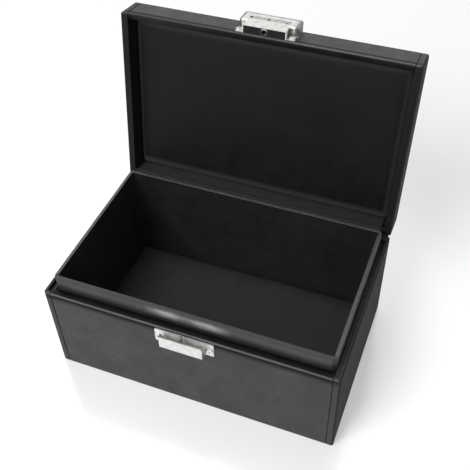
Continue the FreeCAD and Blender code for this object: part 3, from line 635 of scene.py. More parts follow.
def fibre_group() -> bpy.types.NodeTree:
    """Matted or pressed fibres, for felt, board, card and foam."""
    tree = Pattern("fibres", {"Pitch": 2500.0, "Clump": 300.0})
    place = tree.given["Place"]
    hair = tree.add("ShaderNodeTexNoise", {
        "Vector": place, "Scale": tree.given["Pitch"], "Detail": 6.0, "Roughness": 0.75,
        "Distortion": 1.2}).outputs["Fac"]
    clump = tree.noise(place, tree.given["Clump"], 5.0, 0.6)
    both = tree.math("ADD", tree.math("MULTIPLY", hair, 0.6), tree.math("MULTIPLY", clump, 0.4))
    return tree.give(Relief=both, Tone=tree.spread(both, 0.35, 0.65),
                     Gloss=tree.spread(clump, 0.3, 0.7))


def weave_group() -> bpy.types.NodeTree:
    """Plain woven cloth of fine round yarns."""
    tree = Pattern("plain_weave", {"Pitch": 2200.0, "Clump": 120.0})
    place, pitch = tree.given["Place"], tree.given["Pitch"]
    axes = tree.add("ShaderNodeSeparateXYZ", {0: place}).outputs
    warp = tree.math("SINE", tree.math("MULTIPLY", axes[0], pitch))
    weft = tree.math("SINE", tree.math("MULTIPLY", tree.math("ADD", axes[1], axes[2]), pitch))
    cross = tree.math("MULTIPLY", warp, weft)
    return tree.give(Relief=cross, Tone=tree.spread(cross, -1.0, 1.0),
                     Gloss=tree.noise(place, tree.given["Clump"]))


def soft_block_group() -> bpy.types.NodeTree:
    """A block of space with soft sides: 1 inside it, 0 well outside."""
    tree = Pattern("soft_block", {"Centre": (0.0, 0.0, 0.0), "Half": (0.01,) * 3,
                                  "Soft": (0.001,) * 3}, ("Inside",))
    given = tree.given
    away = tree.vector("ABSOLUTE", tree.vector("SUBTRACT", given["Place"], given["Centre"]))
    share = tree.vector("DIVIDE", tree.vector("SUBTRACT", away, given["Half"]), given["Soft"])
    axes = tree.add("ShaderNodeSeparateXYZ", {0: share}).outputs
    sides = [tree.spread(axes[index], 0.0, 1.0, 1.0, 0.0) for index in range(3)]
    return tree.give(Inside=tree.math("MULTIPLY", tree.math("MULTIPLY", sides[0], sides[1]),
                                      sides[2]))


class Texture(Enum):
    """The shared patterns that the finishes are made from."""

    GRAIN = "leather_grain"
    POLISH = "metal_polish"
    FIBRES = "fibres"
    WEAVE = "plain_weave"
    SOFT_BLOCK = "soft_block"

    def group(self) -> bpy.types.NodeTree:
        """The pattern's shared node group, made once."""
        return bpy.data.node_groups.get(self.value) or GROUP_MAKERS[self]()


GROUP_MAKERS: dict[Texture, Callable[[], bpy.types.NodeTree]] = {
    Texture.GRAIN: leather_group,
    Texture.POLISH: polish_group,
    Texture.FIBRES: fibre_group,
    Texture.WEAVE: weave_group,
    Texture.SOFT_BLOCK: soft_block_group,
}


@dataclass(frozen=True)
class Patch:
    """A place where a finish changes: pressed spots, darker marks, and painted shade and painted light.

    It is a block of space with soft sides, in metres. A patch on the lid is placed as if the
    lid were shut.
    """

    centre: tuple[float, float, float]
    half: tuple[float, float, float]
    soft: tuple[float, float, float]
    colour: tuple[float, float, float]
    roughness: float
    uneven: float = 0.0
    dents: float = 0.0
    outside: bool = False
    on_lid: bool = False

    def mask(self, tree: Tree, place: bpy.types.NodeSocket,
             closing: Matrix) -> bpy.types.NodeSocket:
        """How strongly each point of the finish is changed.

        Args:
            tree: The material's tree.
            place: The point's place.
            closing: The turn from the open lid to the shut one.

        Returns:
            A value between 0 and 1.
        """
        at = place
        if self.on_lid:
            at = tree.add("ShaderNodeMapping", {
                "Vector": place, "Location": closing.translation,
                "Rotation": closing.to_euler()}).outputs[0]
        group = tree.add("ShaderNodeGroup", node_tree=Texture.SOFT_BLOCK.group())
        for name, value in (("Place", at), ("Centre", self.centre), ("Half", self.half),
                            ("Soft", self.soft)):
            tree.feed(group.inputs[name], value)
        mask = group.outputs["Inside"]
        if self.outside:
            mask = tree.math("SUBTRACT", 1.0, mask)
        if self.uneven:
            drawn = tree.add("ShaderNodeMapping", {"Vector": place, "Scale": (0.4, 1.0, 1.3)})
            streak = tree.noise(drawn.outputs[0], 210.0, 3.0)
            mask = tree.math("MULTIPLY", mask,
                             tree.spread(streak, 0.36, 0.62, 1.0 - self.uneven, 1.0))
        return mask

    def dent(self, tree: Tree, place: bpy.types.NodeSocket) -> bpy.types.NodeSocket:
        """Shallow dents of the worn place.

        Args:
            tree: The material's tree.
            place: The point's place.

        Returns:
            Their height.
        """
        drawn = tree.add("ShaderNodeMapping", {"Vector": place, "Scale": (0.5, 1.0, 1.6)})
        return tree.math("MULTIPLY", tree.noise(drawn.outputs[0], 120.0, 1.0), self.dents)


@dataclass(frozen=True)
class Finish:
    """One material: its colours, gloss, relief and the pattern that varies them."""

    name: str
    texture: Texture
    pitch: float
    slow: float
    dark: tuple[float, float, float]
    light: tuple[float, float, float]
    roughness: tuple[float, float]
    depth: float
    metallic: float = 0.0
    specular: float = 0.5
    sheen: float = 0.0
    patches: tuple[Patch, ...] = ()

    def build(self, closing: Matrix) -> bpy.types.Material:
        """Makes the material.

        Args:
            closing: The turn from the open lid to the shut one.

        Returns:
            The material, with nodes for its colour, roughness and relief.
        """
        material = bpy.data.materials.new(self.name)
        material.use_nodes = True
        tree = Tree(material.node_tree)
        shader = material.node_tree.nodes["Principled BSDF"]
        place = tree.add("ShaderNodeTexCoord").outputs["Object"]
        group = tree.add("ShaderNodeGroup", node_tree=self.texture.group())
        material.node_tree.links.new(place, group.inputs["Place"])
        group.inputs[1].default_value = self.pitch
        group.inputs[2].default_value = self.slow
        colour = tree.blend(group.outputs["Tone"], (*self.dark, 1.0), (*self.light, 1.0))
        gloss = tree.spread(group.outputs["Gloss"], 0.0, 1.0, *self.roughness)
        relief = group.outputs["Relief"]
        for patch in self.patches:
            mask = patch.mask(tree, place, closing)
            colour = tree.blend(mask, colour, (*patch.colour, 1.0))
            change = tree.math("SUBTRACT", patch.roughness, gloss)
            gloss = tree.math("ADD", gloss, tree.math("MULTIPLY", mask, change))
            if patch.dents:
                relief = tree.math("ADD", relief,
                                   tree.math("MULTIPLY", mask, patch.dent(tree, place)))
        bump = tree.add("ShaderNodeBump", {"Height": relief, "Strength": 1.0,
                                           "Distance": self.depth})
        links = material.node_tree.links
        links.new(colour, shader.inputs["Base Color"])
        links.new(gloss, shader.inputs["Roughness"])
        links.new(bump.outputs["Normal"], shader.inputs["Normal"])
        shader.inputs["Metallic"].default_value = self.metallic
        shader.inputs["Specular IOR Level"].default_value = self.specular
        shader.inputs["Sheen Weight"].default_value = self.sheen
        return material


# Two pressed, smoother spots on the collar's front where the keeper meets it; their light colour is a painted
# highlight.
PRESSED_SPOTS_AND_PAINTED_HIGHLIGHT = tuple(
    Patch((x, -0.0560, level), (half, 0.003, 0.0010), (soft, 0.002, 0.0036),
          (0.37, 0.37, 0.373), 0.30, uneven=0.5, dents=2.5)
    for x, level, half, soft in ((-0.0145, 0.0812, 0.0030, 0.0125),
                                 (0.0120, 0.0806, 0.0040, 0.0130)))
# Painted shade: the collar's front grows darker towards its foot, where it drops into the groove behind the rim.
COLLAR_FOOT_PAINTED_SHADE = Patch((0.0, -0.0565, 0.0730), (0.2, 0.0040, 0.0012), (0.01, 0.001, 0.0056),
                    (0.010, 0.0102, 0.0106), 0.64)
RIM_SHADE = Patch((0.0, -0.0553, 0.0848), (0.2, 0.0024, 0.0006), (0.01, 0.0008, 0.0028),
                  (0.015, 0.0153, 0.0158), 0.60)
BEAD_SHADE = Patch((-0.075, -0.0625, 0.0765), (0.030, 0.004, 0.003), (0.075, 0.002, 0.002),
                   (0.009, 0.009, 0.0092), 0.58, on_lid=True)
CREASE_SHADE = (
    Patch((0.0, -0.0625, 0.0722), (0.2, 0.0012, 0.0006), (0.01, 0.001, 0.0036),
          (0.004, 0.004, 0.0042), 0.75),
    Patch((0.0, -0.0625, 0.0790), (0.2, 0.0012, 0.0006), (0.01, 0.001, 0.0010),
          (0.006, 0.006, 0.0062), 0.70, on_lid=True),
)
# The box's outer sides: rougher leather, painted darker as a painted shade.
DULL_SIDES_PAINTED_SHADE = Patch((0.0, 0.0, 0.0375), (0.0986, 0.2, 0.2), (0.0006, 0.1, 0.1),
                   (0.010, 0.0102, 0.0106), 0.85, outside=True)
# A smoother border round the lid's padded panel, painted much lighter: painted light on its rounded edges.
PANEL_EDGE_PAINTED_LIGHT = Patch((0.0, -0.001, 0.088), (0.0900, 0.0500, 0.02), (0.0050, 0.0075, 0.02),
                   (0.066, 0.067, 0.070), 0.42, outside=True, on_lid=True)
STRIP_SHADE = Patch((0.0, 0.0626, 0.0785), (0.1, 0.0014, 0.0030), (0.001, 0.0006, 0.0006),
                    (0.005, 0.005, 0.0052), 0.7)
# Painted shade on the lever's rolled top, so that it stays dark instead of catching the light.
LEVER_TOP_PAINTED_SHADE = Patch((0.0, -0.0664, 0.0765), (0.02, 0.006, 0.0024), (0.001, 0.001, 0.0003),
                   (0.10, 0.096, 0.092), 0.6, uneven=0.2)
# Darker along the lower edge of the keeper plate, at the lid's rim.
PLATE_EDGE_DARKENING = Patch((0.0, -0.0625, 0.0750), (0.04, 0.004, 0.0016), (0.001, 0.001, 0.0005),
                   (0.05, 0.048, 0.046), 0.6, on_lid=True)
# Darker lines along the keeper's two grooves, and three small dark spots on its face.
GROOVE_DARK_MARKS = tuple(
    Patch((x, -0.0680, level), (half, 0.003, height), (0.0001, 0.001, 0.0001),
          (0.03, 0.029, 0.027), 0.6, on_lid=True)
    for x, level, half, height in ((0.0, 0.08963, 0.0135, 0.00030), (0.0, 0.08763, 0.0135, 0.00030),
                                   (-0.0013, 0.0886, 0.0007, 0.0006),
                                   (-0.0130, 0.0886, 0.0009, 0.0009),
                                   (0.0115, 0.0871, 0.0009, 0.0004)))
# Painted shade: a grey border round the keeper's face, and dark marks under its overhang beside the two ears.
KEEPER_PAINTED_SHADE = (
    Patch((0.0, -0.0660, 0.0848), (0.0171, 0.01, 0.0090), (0.0008, 0.01, 0.0007),
          (0.16, 0.156, 0.15), 0.5, uneven=0.4, outside=True, on_lid=True),
    *(Patch((x, -0.0660, 0.0815), (0.0009, 0.004, 0.0016), (0.0003, 0.001, 0.0012),
            (0.07, 0.067, 0.063), 0.6, uneven=0.3, on_lid=True) for x in (-0.0153, 0.0153)),
)
# Painted shade round the screw heads of the keeper's ears.
EAR_PAINTED_SHADE = tuple(
    Patch((x, -0.0634, 0.0818), (0.0024, 0.0008, 0.0010), (0.0008, 0.0005, 0.0012),
          (0.07, 0.067, 0.063), 0.6, uneven=0.3, on_lid=True) for x in (-0.0174, 0.0174))

FINISHES = {finish.name: finish for finish in (
    Finish("outer_leather", Texture.GRAIN, 1300.0, 26.0,
           (0.0190, 0.0195, 0.0198), (0.0375, 0.0382, 0.0388), (0.44, 0.60),
           6.0e-5, specular=0.31, patches=(*CREASE_SHADE, DULL_SIDES_PAINTED_SHADE)),
    Finish("rim_leather", Texture.GRAIN, 1500.0, 30.0,
           (0.0038, 0.0039, 0.0041), (0.0078, 0.008, 0.0083), (0.46, 0.60),
           4.0e-5, specular=0.15),
    # Near-black leather in the crease under the rolled bead: a painted shade.
    Finish("crease_leather", Texture.GRAIN, 1500.0, 30.0,
           (0.003, 0.003, 0.003), (0.006, 0.006, 0.006), (0.70, 0.85),
           4.0e-5, specular=0.08),
    # A lighter copy of the lining leather, with more gloss, for the collar's rim and outside: the lighter colour
    # is painted light.
    Finish("collar_leather", Texture.GRAIN, 1700.0, 24.0,
           (0.0360, 0.0369, 0.0386), (0.0600, 0.0615, 0.0648), (0.42, 0.56),
           4.0e-5, specular=0.58,
           patches=(COLLAR_FOOT_PAINTED_SHADE, *PRESSED_SPOTS_AND_PAINTED_HIGHLIGHT, RIM_SHADE)),
    Finish("burnished_leather", Texture.GRAIN, 1500.0, 60.0,
           (0.013, 0.013, 0.0134), (0.034, 0.034, 0.0335), (0.32, 0.46),
           2.0e-5, specular=0.48, patches=(BEAD_SHADE,)),
    Finish("panel_leather", Texture.GRAIN, 1500.0, 20.0,
           (0.0036, 0.0038, 0.0040), (0.0072, 0.0075, 0.0080), (0.48, 0.62),
           3.2e-5, specular=0.145, patches=(PANEL_EDGE_PAINTED_LIGHT,)),
    Finish("lining_leather", Texture.GRAIN, 1900.0, 22.0,
           (0.0085, 0.0088, 0.0092), (0.015, 0.0154, 0.016), (0.42, 0.56),
           2.6e-5, specular=0.30),
    # A lighter copy of the lining leather for the hinge strip: the lighter colour is painted light.
    Finish("strip_leather", Texture.GRAIN, 1700.0, 30.0,
           (0.022, 0.0224, 0.023), (0.036, 0.0366, 0.038), (0.46, 0.58),
           3.0e-5, specular=0.30, patches=(STRIP_SHADE,)),
    Finish("floor_leather", Texture.GRAIN, 1900.0, 18.0,
           (0.0170, 0.0172, 0.0180), (0.0300, 0.0302, 0.0312), (0.5, 0.64),
           2.6e-5, specular=0.34),
    Finish("fibreboard", Texture.FIBRES, 2200.0, 260.0,
           (0.36, 0.26, 0.17), (0.50, 0.39, 0.27), (0.75, 0.9), 4e-5),
    Finish("card", Texture.FIBRES, 2600.0, 180.0,
           (0.34, 0.31, 0.27), (0.45, 0.42, 0.37), (0.75, 0.9), 2e-5),
    Finish("screening_cloth", Texture.WEAVE, 6000.0, 120.0,
           (0.42, 0.35, 0.28), (0.60, 0.52, 0.44), (0.35, 0.5), 3e-5,
           metallic=0.8),
    Finish("felt", Texture.FIBRES, 2600.0, 500.0,
           (0.022, 0.022, 0.023), (0.055, 0.055, 0.057), (0.9, 1.0), 1.2e-4, sheen=0.4),
    Finish("foam", Texture.FIBRES, 1500.0, 700.0,
           (0.12, 0.12, 0.12), (0.22, 0.22, 0.22), (0.85, 0.95), 1.5e-4),
    Finish("nickel", Texture.POLISH, 1400.0, 260.0,
           (0.62, 0.615, 0.60), (0.76, 0.755, 0.74), (0.34, 0.46), 1.2e-5, metallic=0.4,
           patches=(PLATE_EDGE_DARKENING, *EAR_PAINTED_SHADE)),
    Finish("lever_nickel", Texture.POLISH, 1400.0, 260.0,
           (0.56, 0.555, 0.545), (0.66, 0.655, 0.645), (0.38, 0.50), 1.2e-5,
           metallic=0.9, patches=(LEVER_TOP_PAINTED_SHADE,)),
    Finish("keeper_nickel", Texture.POLISH, 1400.0, 260.0,
           (0.50, 0.495, 0.485), (0.64, 0.635, 0.62), (0.34, 0.46), 1.2e-5,
           metallic=0.9, patches=(*GROOVE_DARK_MARKS, *KEEPER_PAINTED_SHADE)),
    Finish("black_plastic", Texture.POLISH, 1800.0, 300.0,
           (0.004, 0.0037, 0.0037), (0.012, 0.011, 0.010), (0.5, 0.65), 4e-5,
           specular=0.16),
    Finish("steel_wire", Texture.POLISH, 2400.0, 400.0,
           (0.36, 0.36, 0.36), (0.5, 0.5, 0.5), (0.34, 0.48), 1e-5, metallic=1.0),
    Finish("thread", Texture.FIBRES, 9000.0, 1500.0,
           (0.004, 0.004, 0.0045), (0.014, 0.014, 0.015), (0.6, 0.8), 3e-5, sheen=0.1),
)}
NODE_FINISHES = {"latch_lever": "lever_nickel", "keeper_cover": "keeper_nickel"}


class Palette:
    """Builds each finish the first time that a piece asks for it."""

    def __init__(self, closing: Matrix) -> None:
        """Starts with nothing built.

        Args:
            closing: The turn from the open lid to the shut one.
        """
        self.closing = closing
        self.built: dict[str, bpy.types.Material] = {}

    def __call__(self, name: str) -> bpy.types.Material:
        """One finish as a material.

        Args:
            name: Name of the finish.

        Returns:
            The material.
        """
        if name not in self.built:
            self.built[name] = FINISHES[name].build(self.closing)
        return self.built[name]

    def dress_nodes(self) -> None:
        """Gives every CAD node the finish of its slot in the record, or its own finish with painted shade."""
        for part in frame["record"]["subparts"]:
            mesh = frame["nodes"][part["node"]].data
            mesh.materials.clear()
            mesh.materials.append(self(NODE_FINISHES.get(part["node"], part["material_slot"])))


# ------------------------------------------------------------------ outer leather


@dataclass
class RolledFront:
    """The leather on a front: a flat panel whose edge is rolled into a bead at the rim.

    It is drawn in a plane across X, with `out` the way the front faces and `up` the way to
    the rim, so that the base and the lid share it.
    """

    rim: Vector
    out: Vector
    up: Vector
    height: float
    ledge: float
    turn_in: float
    fold_back: float
    groove: float
    bead_radius: float = 0.85 * MM
    bead_stand: float = 0.55 * MM
    crease_depth: float = 0.55 * MM
    crease_drop: float = 1.85 * MM
    crease_profile: tuple[tuple[float, float], ...] = (
        (0.0, 2.9), (0.08, 2.1), (0.25, 1.5), (0.6, 0.7), (1.0, 0.0))
    bead_from: float = -70.0
    bead_to: float = 165.0
    tuck: float = 4.0 * MM
    tape_width: float = 1.1 * MM
    tape_sink: float = 0.65 * MM
    tape_crease: float = 0.08 * MM
    step_drop: float = 0.6 * MM
    end_stand: float = 0.25 * MM
    end_middle: float = 1.75 * MM
    end_stretch: float = 0.95 * MM
    columns: int = 48
    lip: float = 2.0 * MM
    corner: float = 0.7 * MM
    bead_steps: int = 10
    seam_width: float = SEAM_WIDTH
    seam_depth: float = SEAM_DEPTH
    inside: str = "outer_leather"
    capped: bool = False

    def point(self, out: float, up: float, x: float) -> Vector:
        """A point of the section, measured from the rim's outer edge.

        Args:
            out: Distance outwards.
            up: Distance towards the rim, negative below it.
            x: Place along the front.

        Returns:
            The point.
        """
        return Vector((x, 0.0, 0.0)) + self.rim + self.out * out + self.up * up

    def section(self, x: float) -> list[Vector]:
        """The section's points, from the fold at the far edge to the leather turned inside.

        Args:
            x: Place along the front.

        Returns:
            The points in order.
        """
        radius = self.bead_radius
        centre_out = self.bead_stand - radius
        points = [self.point(0.0, -self.height, x)]
        if self.fold_back:
            points.insert(0, self.point(-self.fold_back, -self.height, x))
        depth, drop = self.crease_depth, self.crease_drop
        points += [self.point(-depth * share, -drop - below * MM, x)
                   for share, below in self.crease_profile]
        first, last = math.radians(self.bead_from), math.radians(self.bead_to)
        for step in range(self.bead_steps + 1):
            angle = first + (last - first) * step / self.bead_steps
            points.append(self.point(centre_out + radius * math.cos(angle),
                                     -radius + radius * math.sin(angle), x))
        points += [self.point(-self.lip + 0.1 * MM, -radius - 0.1 * MM, x),
                   self.point(-self.lip, -radius - self.step_drop, x),
                   self.point(-self.lip, -self.groove, x),
                   self.point(-self.ledge, -self.groove, x),
                   self.point(-self.ledge, -self.turn_in, x)]
        if not self.fold_back:
            points.append(self.point(-self.ledge - self.tuck, -self.turn_in, x))
        return points

    def sunk(self, x: float, half_width: float) -> float:
        """How far the panel's face sinks at its two seams.

        Args:
            x: Place along the front.
            half_width: Half the panel's width.

        Returns:
            The sinking there.
        """
        return seam_dip(half_width - abs(x), self.seam_width, self.seam_depth)

    def panel(self, name: str, half_width: float, palette: Palette,
              place: Matrix | None = None) -> bpy.types.Object:
        """Builds the panel.

        Args:
            name: Name of the piece.
            half_width: Half the panel's width.
            palette: The finishes.
            place: A last turn of the whole panel.

        Returns:
            The panel, with finishes for its face, its rubbed bead, what lies inside and the painted shade in the
            crease under the bead.
        """
        form = Form()
        edges = form.chain(self.section(-half_width))
        form.draw_along(edges, X_AXIS * 2.0 * half_width, self.columns)
        foot = self.point(0.0, -self.height, 0.0)

        def on_foot(first: Vector, second: Vector) -> bool:
            """Whether an edge lies along the front's foot."""
            along = abs(first.x - second.x) > 1e-5
            return along and (Vector((0.0, first.y, first.z)) - foot).length < 1e-5
        form.ease(form.edges(on_foot), self.corner, 4)
        for share in SEAM_STEPS:
            edge = half_width - self.seam_width * share
            form.slice(0, -edge, edge)
        if self.capped:
            self.close_step(form, half_width)
        names = ("outer_leather", "burnished_leather", self.inside, "crease_leather")
        for face in form.bm.faces:
            face.material_index = names.index(self.finish_at(face.calc_center_median()))
        form.shift(lambda at: self.out * -self.sunk(at.x, half_width))
        piece = form.finish(name, palette(names[0]), Shading.SOFT, place, self.out)
        for label in names[1:]:
            piece.data.materials.append(palette(label))
        return piece

    def close_step(self, form: Form, half_width: float) -> None:
        """Closes both ends of the step behind the bead.

        Args:
            form: The panel's mesh.
            half_width: Half the panel's width.
        """
        top = -self.bead_radius - self.step_drop
        for side in Side:
            x = side.value * half_width
            form.bm.faces.new([form.bm.verts.new(self.point(-out, up, x)) for out, up in (
                (self.lip, top), (self.ledge, top), (self.ledge, -self.groove),
                (self.lip, -self.groove))])

    def finish_at(self, at: Vector) -> str:
        """Which finish the leather has at a point of the section.

        Args:
            at: The point.

        Returns:
            The finish's name.
        """
        flat = Vector((0.0, at.y, at.z))
        out, up = (flat - self.rim).dot(self.out), (flat - self.rim).dot(self.up)
        bead = self.point(self.bead_stand - self.bead_radius, -self.bead_radius, 0.0)
        if (flat - bead).length < self.bead_radius * 1.02:
            return "burnished_leather"
        if out < -1.15 * MM and up > -self.turn_in - 1.0 * MM:
            return self.inside
        # The crease under the bead takes the painted crease shade.
        if -self.crease_drop - 1.6 * MM < up < -self.bead_radius:
            return "crease_leather"
        return "outer_leather"

    def bead_ends(self, name: str, start: float, material: bpy.types.Material,
                  place: Matrix | None = None) -> bpy.types.Object:
        """Builds the short ends of the rolled rim, on the corner strips.

        Args:
            name: Name of the piece.
            start: Distance of their near ends from the middle.
            material: Their finish.
            place: A last turn of the whole piece.

        Returns:
            The two ends.
        """
        form = Form()
        radius = self.bead_radius - CLEAR
        turn = Matrix.Rotation(math.pi / 2, 4, "Y")
        for side in Side:
            middle = self.point(self.end_stand - radius, -radius,
                                side.value * (start + self.end_middle))
            made = bmesh.ops.create_uvsphere(form.bm, u_segments=12, v_segments=8, radius=radius,
                                             matrix=Matrix.Translation(middle) @ turn)["verts"]
            for vert in made:
                vert.co.x += math.copysign(self.end_stretch, vert.co.x - middle.x)
        return form.finish(name, material, Shading.SOFT, place)

    def backing(self, name: str, centre: float, material: bpy.types.Material,
                place: Matrix | None = None) -> bpy.types.Object:
        """Builds the dark tape behind the panel's two seams.

        Args:
            name: Name of the piece.
            centre: Distance of the seams from the middle.
            material: Its finish.
            place: A last turn of the whole tape.

        Returns:
            The tape.
        """
        form = Form()
        sunk = self.out * -self.tape_sink - self.up * self.tape_sink
        flat = replace(self, crease_depth=self.tape_crease)
        for side in Side:
            start = side.value * centre - self.tape_width / 2
            section = [point + sunk for point in flat.section(start)]
            form.draw_along(form.chain(section), X_AXIS * self.tape_width, 1)
        return form.finish(name, material, Shading.SOFT, place, self.out)


@dataclass
class Stitches:
    """A row of short stitches that lie on a leather."""

    pitch: float = 2.9 * MM
    length: float = 2.1 * MM
    width: float = 0.42 * MM
    height: float = 0.16 * MM
    inset: float = 1.3 * MM

    def corners(self, name: str, seam: float, space: Block, margin: float,
                material: bpy.types.Material, place: Matrix | None = None) -> bpy.types.Object:
        """Builds the rows on the two corner strips of a front.

        Args:
            name: Name of the piece.
            seam: Distance of the strips' seams from the middle.
            space: The leather's block.
            margin: Distance of the rows' ends from its top and bottom.
            material: Their finish.
            place: A last turn of the rows.

        Returns:
            The stitches.
        """
        form = Form()
        for side in Side:
            x = side.value * (seam + self.inset)
            self.row(form, Vector((x, space.low.y, space.low.z + margin)),
                     Vector((x, space.low.y, space.high.z - margin)), X_AXIS, -Y_AXIS)
        return form.finish(name, material, Shading.SOFT, place)

    def row(self, form: Form, start: Vector, end: Vector, across: Vector, out: Vector) -> None:
        """Adds one row of stitches to a mesh.

        Args:
            form: The mesh.
            start: First end of the row.
            end: Other end of the row.
            across: Direction across the row, in the leather's face.
            out: Direction out of the leather.
        """
        way = end - start
        count = int(way.length / self.pitch)
        step = way.normalized()
        turn = Matrix((across, step, out)).transposed().to_4x4()
        for index in range(count):
            middle = start + step * self.pitch * (index + 0.5)
            size = Matrix.Diagonal((self.width / 2, self.length / 2, self.height, 1.0))
            bmesh.ops.create_icosphere(form.bm, subdivisions=1, radius=1.0,
                                       matrix=Matrix.Translation(middle) @ turn @ size)


@dataclass
class LeatherShell:
    """The outer leather of one half of the box: sides, back and the strips at the front."""

    space: Block
    opening: Block
    mouth_up: bool
    hinge_flap: float
    return_width: float
    leather: float = LEATHER
    corner: float = SIDE_CORNER
    rim_round: float = 0.9 * MM
    far_round: float = 0.7 * MM
    turn_in: float = 15.0 * MM
    turn_under: float = 12.0 * MM
    tuck: float = 4.0 * MM
    lip: float = 0.0
    groove: float = 0.0
    inner_round: float = 0.6 * MM
    seam_width: float = SEAM_WIDTH
    seam_depth: float = SEAM_DEPTH
    closed: bool = False
    front_stop: float = 2.2 * MM

    def mouth(self) -> float:
        """Height of the rim."""
        return self.space.high.z if self.mouth_up else self.space.low.z

    def far(self) -> float:
        """Height of the face away from the rim."""
        return self.space.low.z if self.mouth_up else self.space.high.z

    def inwards(self) -> Vector:
        """Direction from the rim into the box."""
        return -Z_AXIS if self.mouth_up else Z_AXIS

    def build(self, name: str, palette: Palette,
              place: Matrix | None = None) -> bpy.types.Object:
        """Builds the shell.

        Args:
            name: Name of the piece.
            palette: The finishes.
            place: A last turn of the whole shell.

        Returns:
            The shell.
        """
        mouth, far = self.mouth(), self.far()
        form = Form()
        form.block(self.space)
        form.ease(form.edges(is_upright), self.corner, 6)
        form.ease(form.edges(lies_at(mouth)), self.rim_round, 5)
        form.ease(form.edges(lies_at(far)), self.far_round, 4)
        edge = self.rim_opening()
        form.slice(0, edge.low.x, edge.high.x)
        form.slice(1, edge.low.y, edge.high.y)

        def in_mouth(at: Vector) -> bool:
            """Whether a face closes the mouth."""
            return edge.covers(at) and near(at.z, mouth)
        form.drop(in_mouth)
        if self.groove:
            form.turn_in(form.open_edges(), self.inwards() * self.groove)
            form.turn_in(form.open_edges(), Vector())
            self.close_groove(form)
        form.turn_in(form.open_edges(), self.inwards() * (self.turn_in - self.groove))
        if self.closed:
            self.fold_under_panel(form)
        form.ease(form.edges(lambda a, b: near(a.z, mouth) and near(b.z, mouth)
                             and self.on_edge(a, edge) and self.on_edge(b, edge)),
                  self.inner_round, 4)
        self.cut_front(form)
        if not self.closed:
            self.cut_under(form)
        self.cut_hinge(form)
        self.sink_seams(form)
        for face in form.bm.faces:
            face.material_index = int(self.is_inside(face.calc_center_median()))
        piece = form.finish(name, palette("outer_leather"), Shading.SOFT, place)
        piece.data.materials.append(palette("rim_leather" if self.closed else "outer_leather"))
        return piece

    def is_inside(self, at: Vector) -> bool:
        """Whether a point lies on the rim or inside it, where the leather is darker.

        Args:
            at: The point.

        Returns:
            True if it does.
        """
        within = self.rim_opening().grown(CLEAR).covers(at)
        on_rim = self.closed and abs(at.z - self.mouth()) < 0.02 * MM
        return on_rim or (within and abs(at.z - self.mouth()) < self.turn_in + 1.0 * MM)

    def fold_under_panel(self, form: Form) -> None:
        """Folds the end of the turned-in leather inwards, under the padded panel.

        Args:
            form: The shell's mesh.
        """
        form.turn_in(form.open_edges(), Vector())
        self.draw_in(form, self.tuck)

    def draw_in(self, form: Form, past: float) -> None:
        """Draws the leather's open end inwards, to the opening's outline or past it.

        Args:
            form: The shell's mesh.
            past: How far past the outline it goes.
        """
        low, high = self.opening.low, self.opening.high
        for vert in {vert for edge in form.open_edges() for vert in edge.verts}:
            vert.co.x = min(max(vert.co.x, low.x + past), high.x - past)
            vert.co.y = min(max(vert.co.y, low.y + past), high.y - past)

    def rim_opening(self) -> Block:
        """The outline inside the rim: the opening itself, or the groove's outer edge."""
        low, high = self.opening.low.copy(), self.opening.high.copy()
        if self.groove:
            low.x, high.x = self.space.low.x + self.lip, self.space.high.x - self.lip
            low.y = self.space.low.y + self.lip
        return Block(low, high)

    def close_groove(self, form: Form) -> None:
        """Draws the groove's floor in to the opening.

        Args:
            form: The shell's mesh.
        """
        self.draw_in(form, 0.0)
        bmesh.ops.dissolve_degenerate(form.bm, dist=NEAR, edges=form.bm.edges)

    def sink_seams(self, form: Form) -> None:
        """Rounds the leather off beside its two front seams.

        Args:
            form: The shell's mesh.
        """
        side = self.space.high.x - self.return_width
        for share in SEAM_STEPS:
            form.slice(0, -side - self.seam_width * share, side + self.seam_width * share)
        front = self.opening.low.y

        def sink(at: Vector) -> Vector:
            """The step of one vertex."""
            gap = abs(at.x) - side
            if gap < -NEAR or at.y > front:
                return Vector()
            return Y_AXIS * seam_dip(gap, self.seam_width, self.seam_depth)
        form.shift(sink)

    @staticmethod
    def on_edge(at: Vector, edge: Block) -> bool:
        """Whether a point stands on an outline.

        Args:
            at: The point.
            edge: The outline's block.

        Returns:
            True if it does.
        """
        low, high = edge.low, edge.high
        return (near(at.x, low.x) or near(at.x, high.x)
                or near(at.y, low.y) or near(at.y, high.y))

    def cut_front(self, form: Form) -> None:
        """Takes out the front between the two corner strips.

        Args:
            form: The shell's mesh.
        """
        side = self.space.high.x - self.return_width
        back = self.opening.low.y + 0.01 * MM
        form.slice(0, -side, side)
        top = self.far() + (-self.front_stop if self.closed else 0.0)
        if self.closed:
            form.slice(2, top)
        else:
            form.slice(1, self.space.low.y + self.turn_under)

        def in_front(at: Vector) -> bool:
            """Whether a face belongs to the front leather."""
            if abs(at.x) > side:
                return False
            if self.closed:
                return at.y < back and at.z < top
            under = abs(at.z - self.far()) < self.far_round
            return at.y < back or (under and at.y < self.space.low.y + self.turn_under)
        form.drop(in_front)

    def cut_under(self, form: Form) -> None:
        """Leaves only the folded border of the underside.

        Args:
            form: The shell's mesh.
        """
        low, high, fold = self.space.low, self.space.high, self.turn_under
        form.slice(0, low.x + fold, high.x - fold)
        form.slice(1, low.y + fold, high.y - fold)
        form.drop(lambda at: near(at.z, low.z)
                  and low.x + fold < at.x < high.x - fold
                  and low.y + fold < at.y < high.y - fold)

    def cut_hinge(self, form: Form) -> None:
        """Takes out the part of the back that the flexing leather covers.

        Args:
            form: The shell's mesh.
        """
        level = self.mouth() + self.inwards().z * self.hinge_flap
        side = self.space.high.x - self.corner
        back = self.space.high.y - self.leather
        form.slice(2, level)
        form.slice(0, -side, side)
        form.slice(1, back)
        form.drop(lambda at: abs(at.x) < side and at.y > back
                  and (at.z - level) * self.inwards().z < 0)


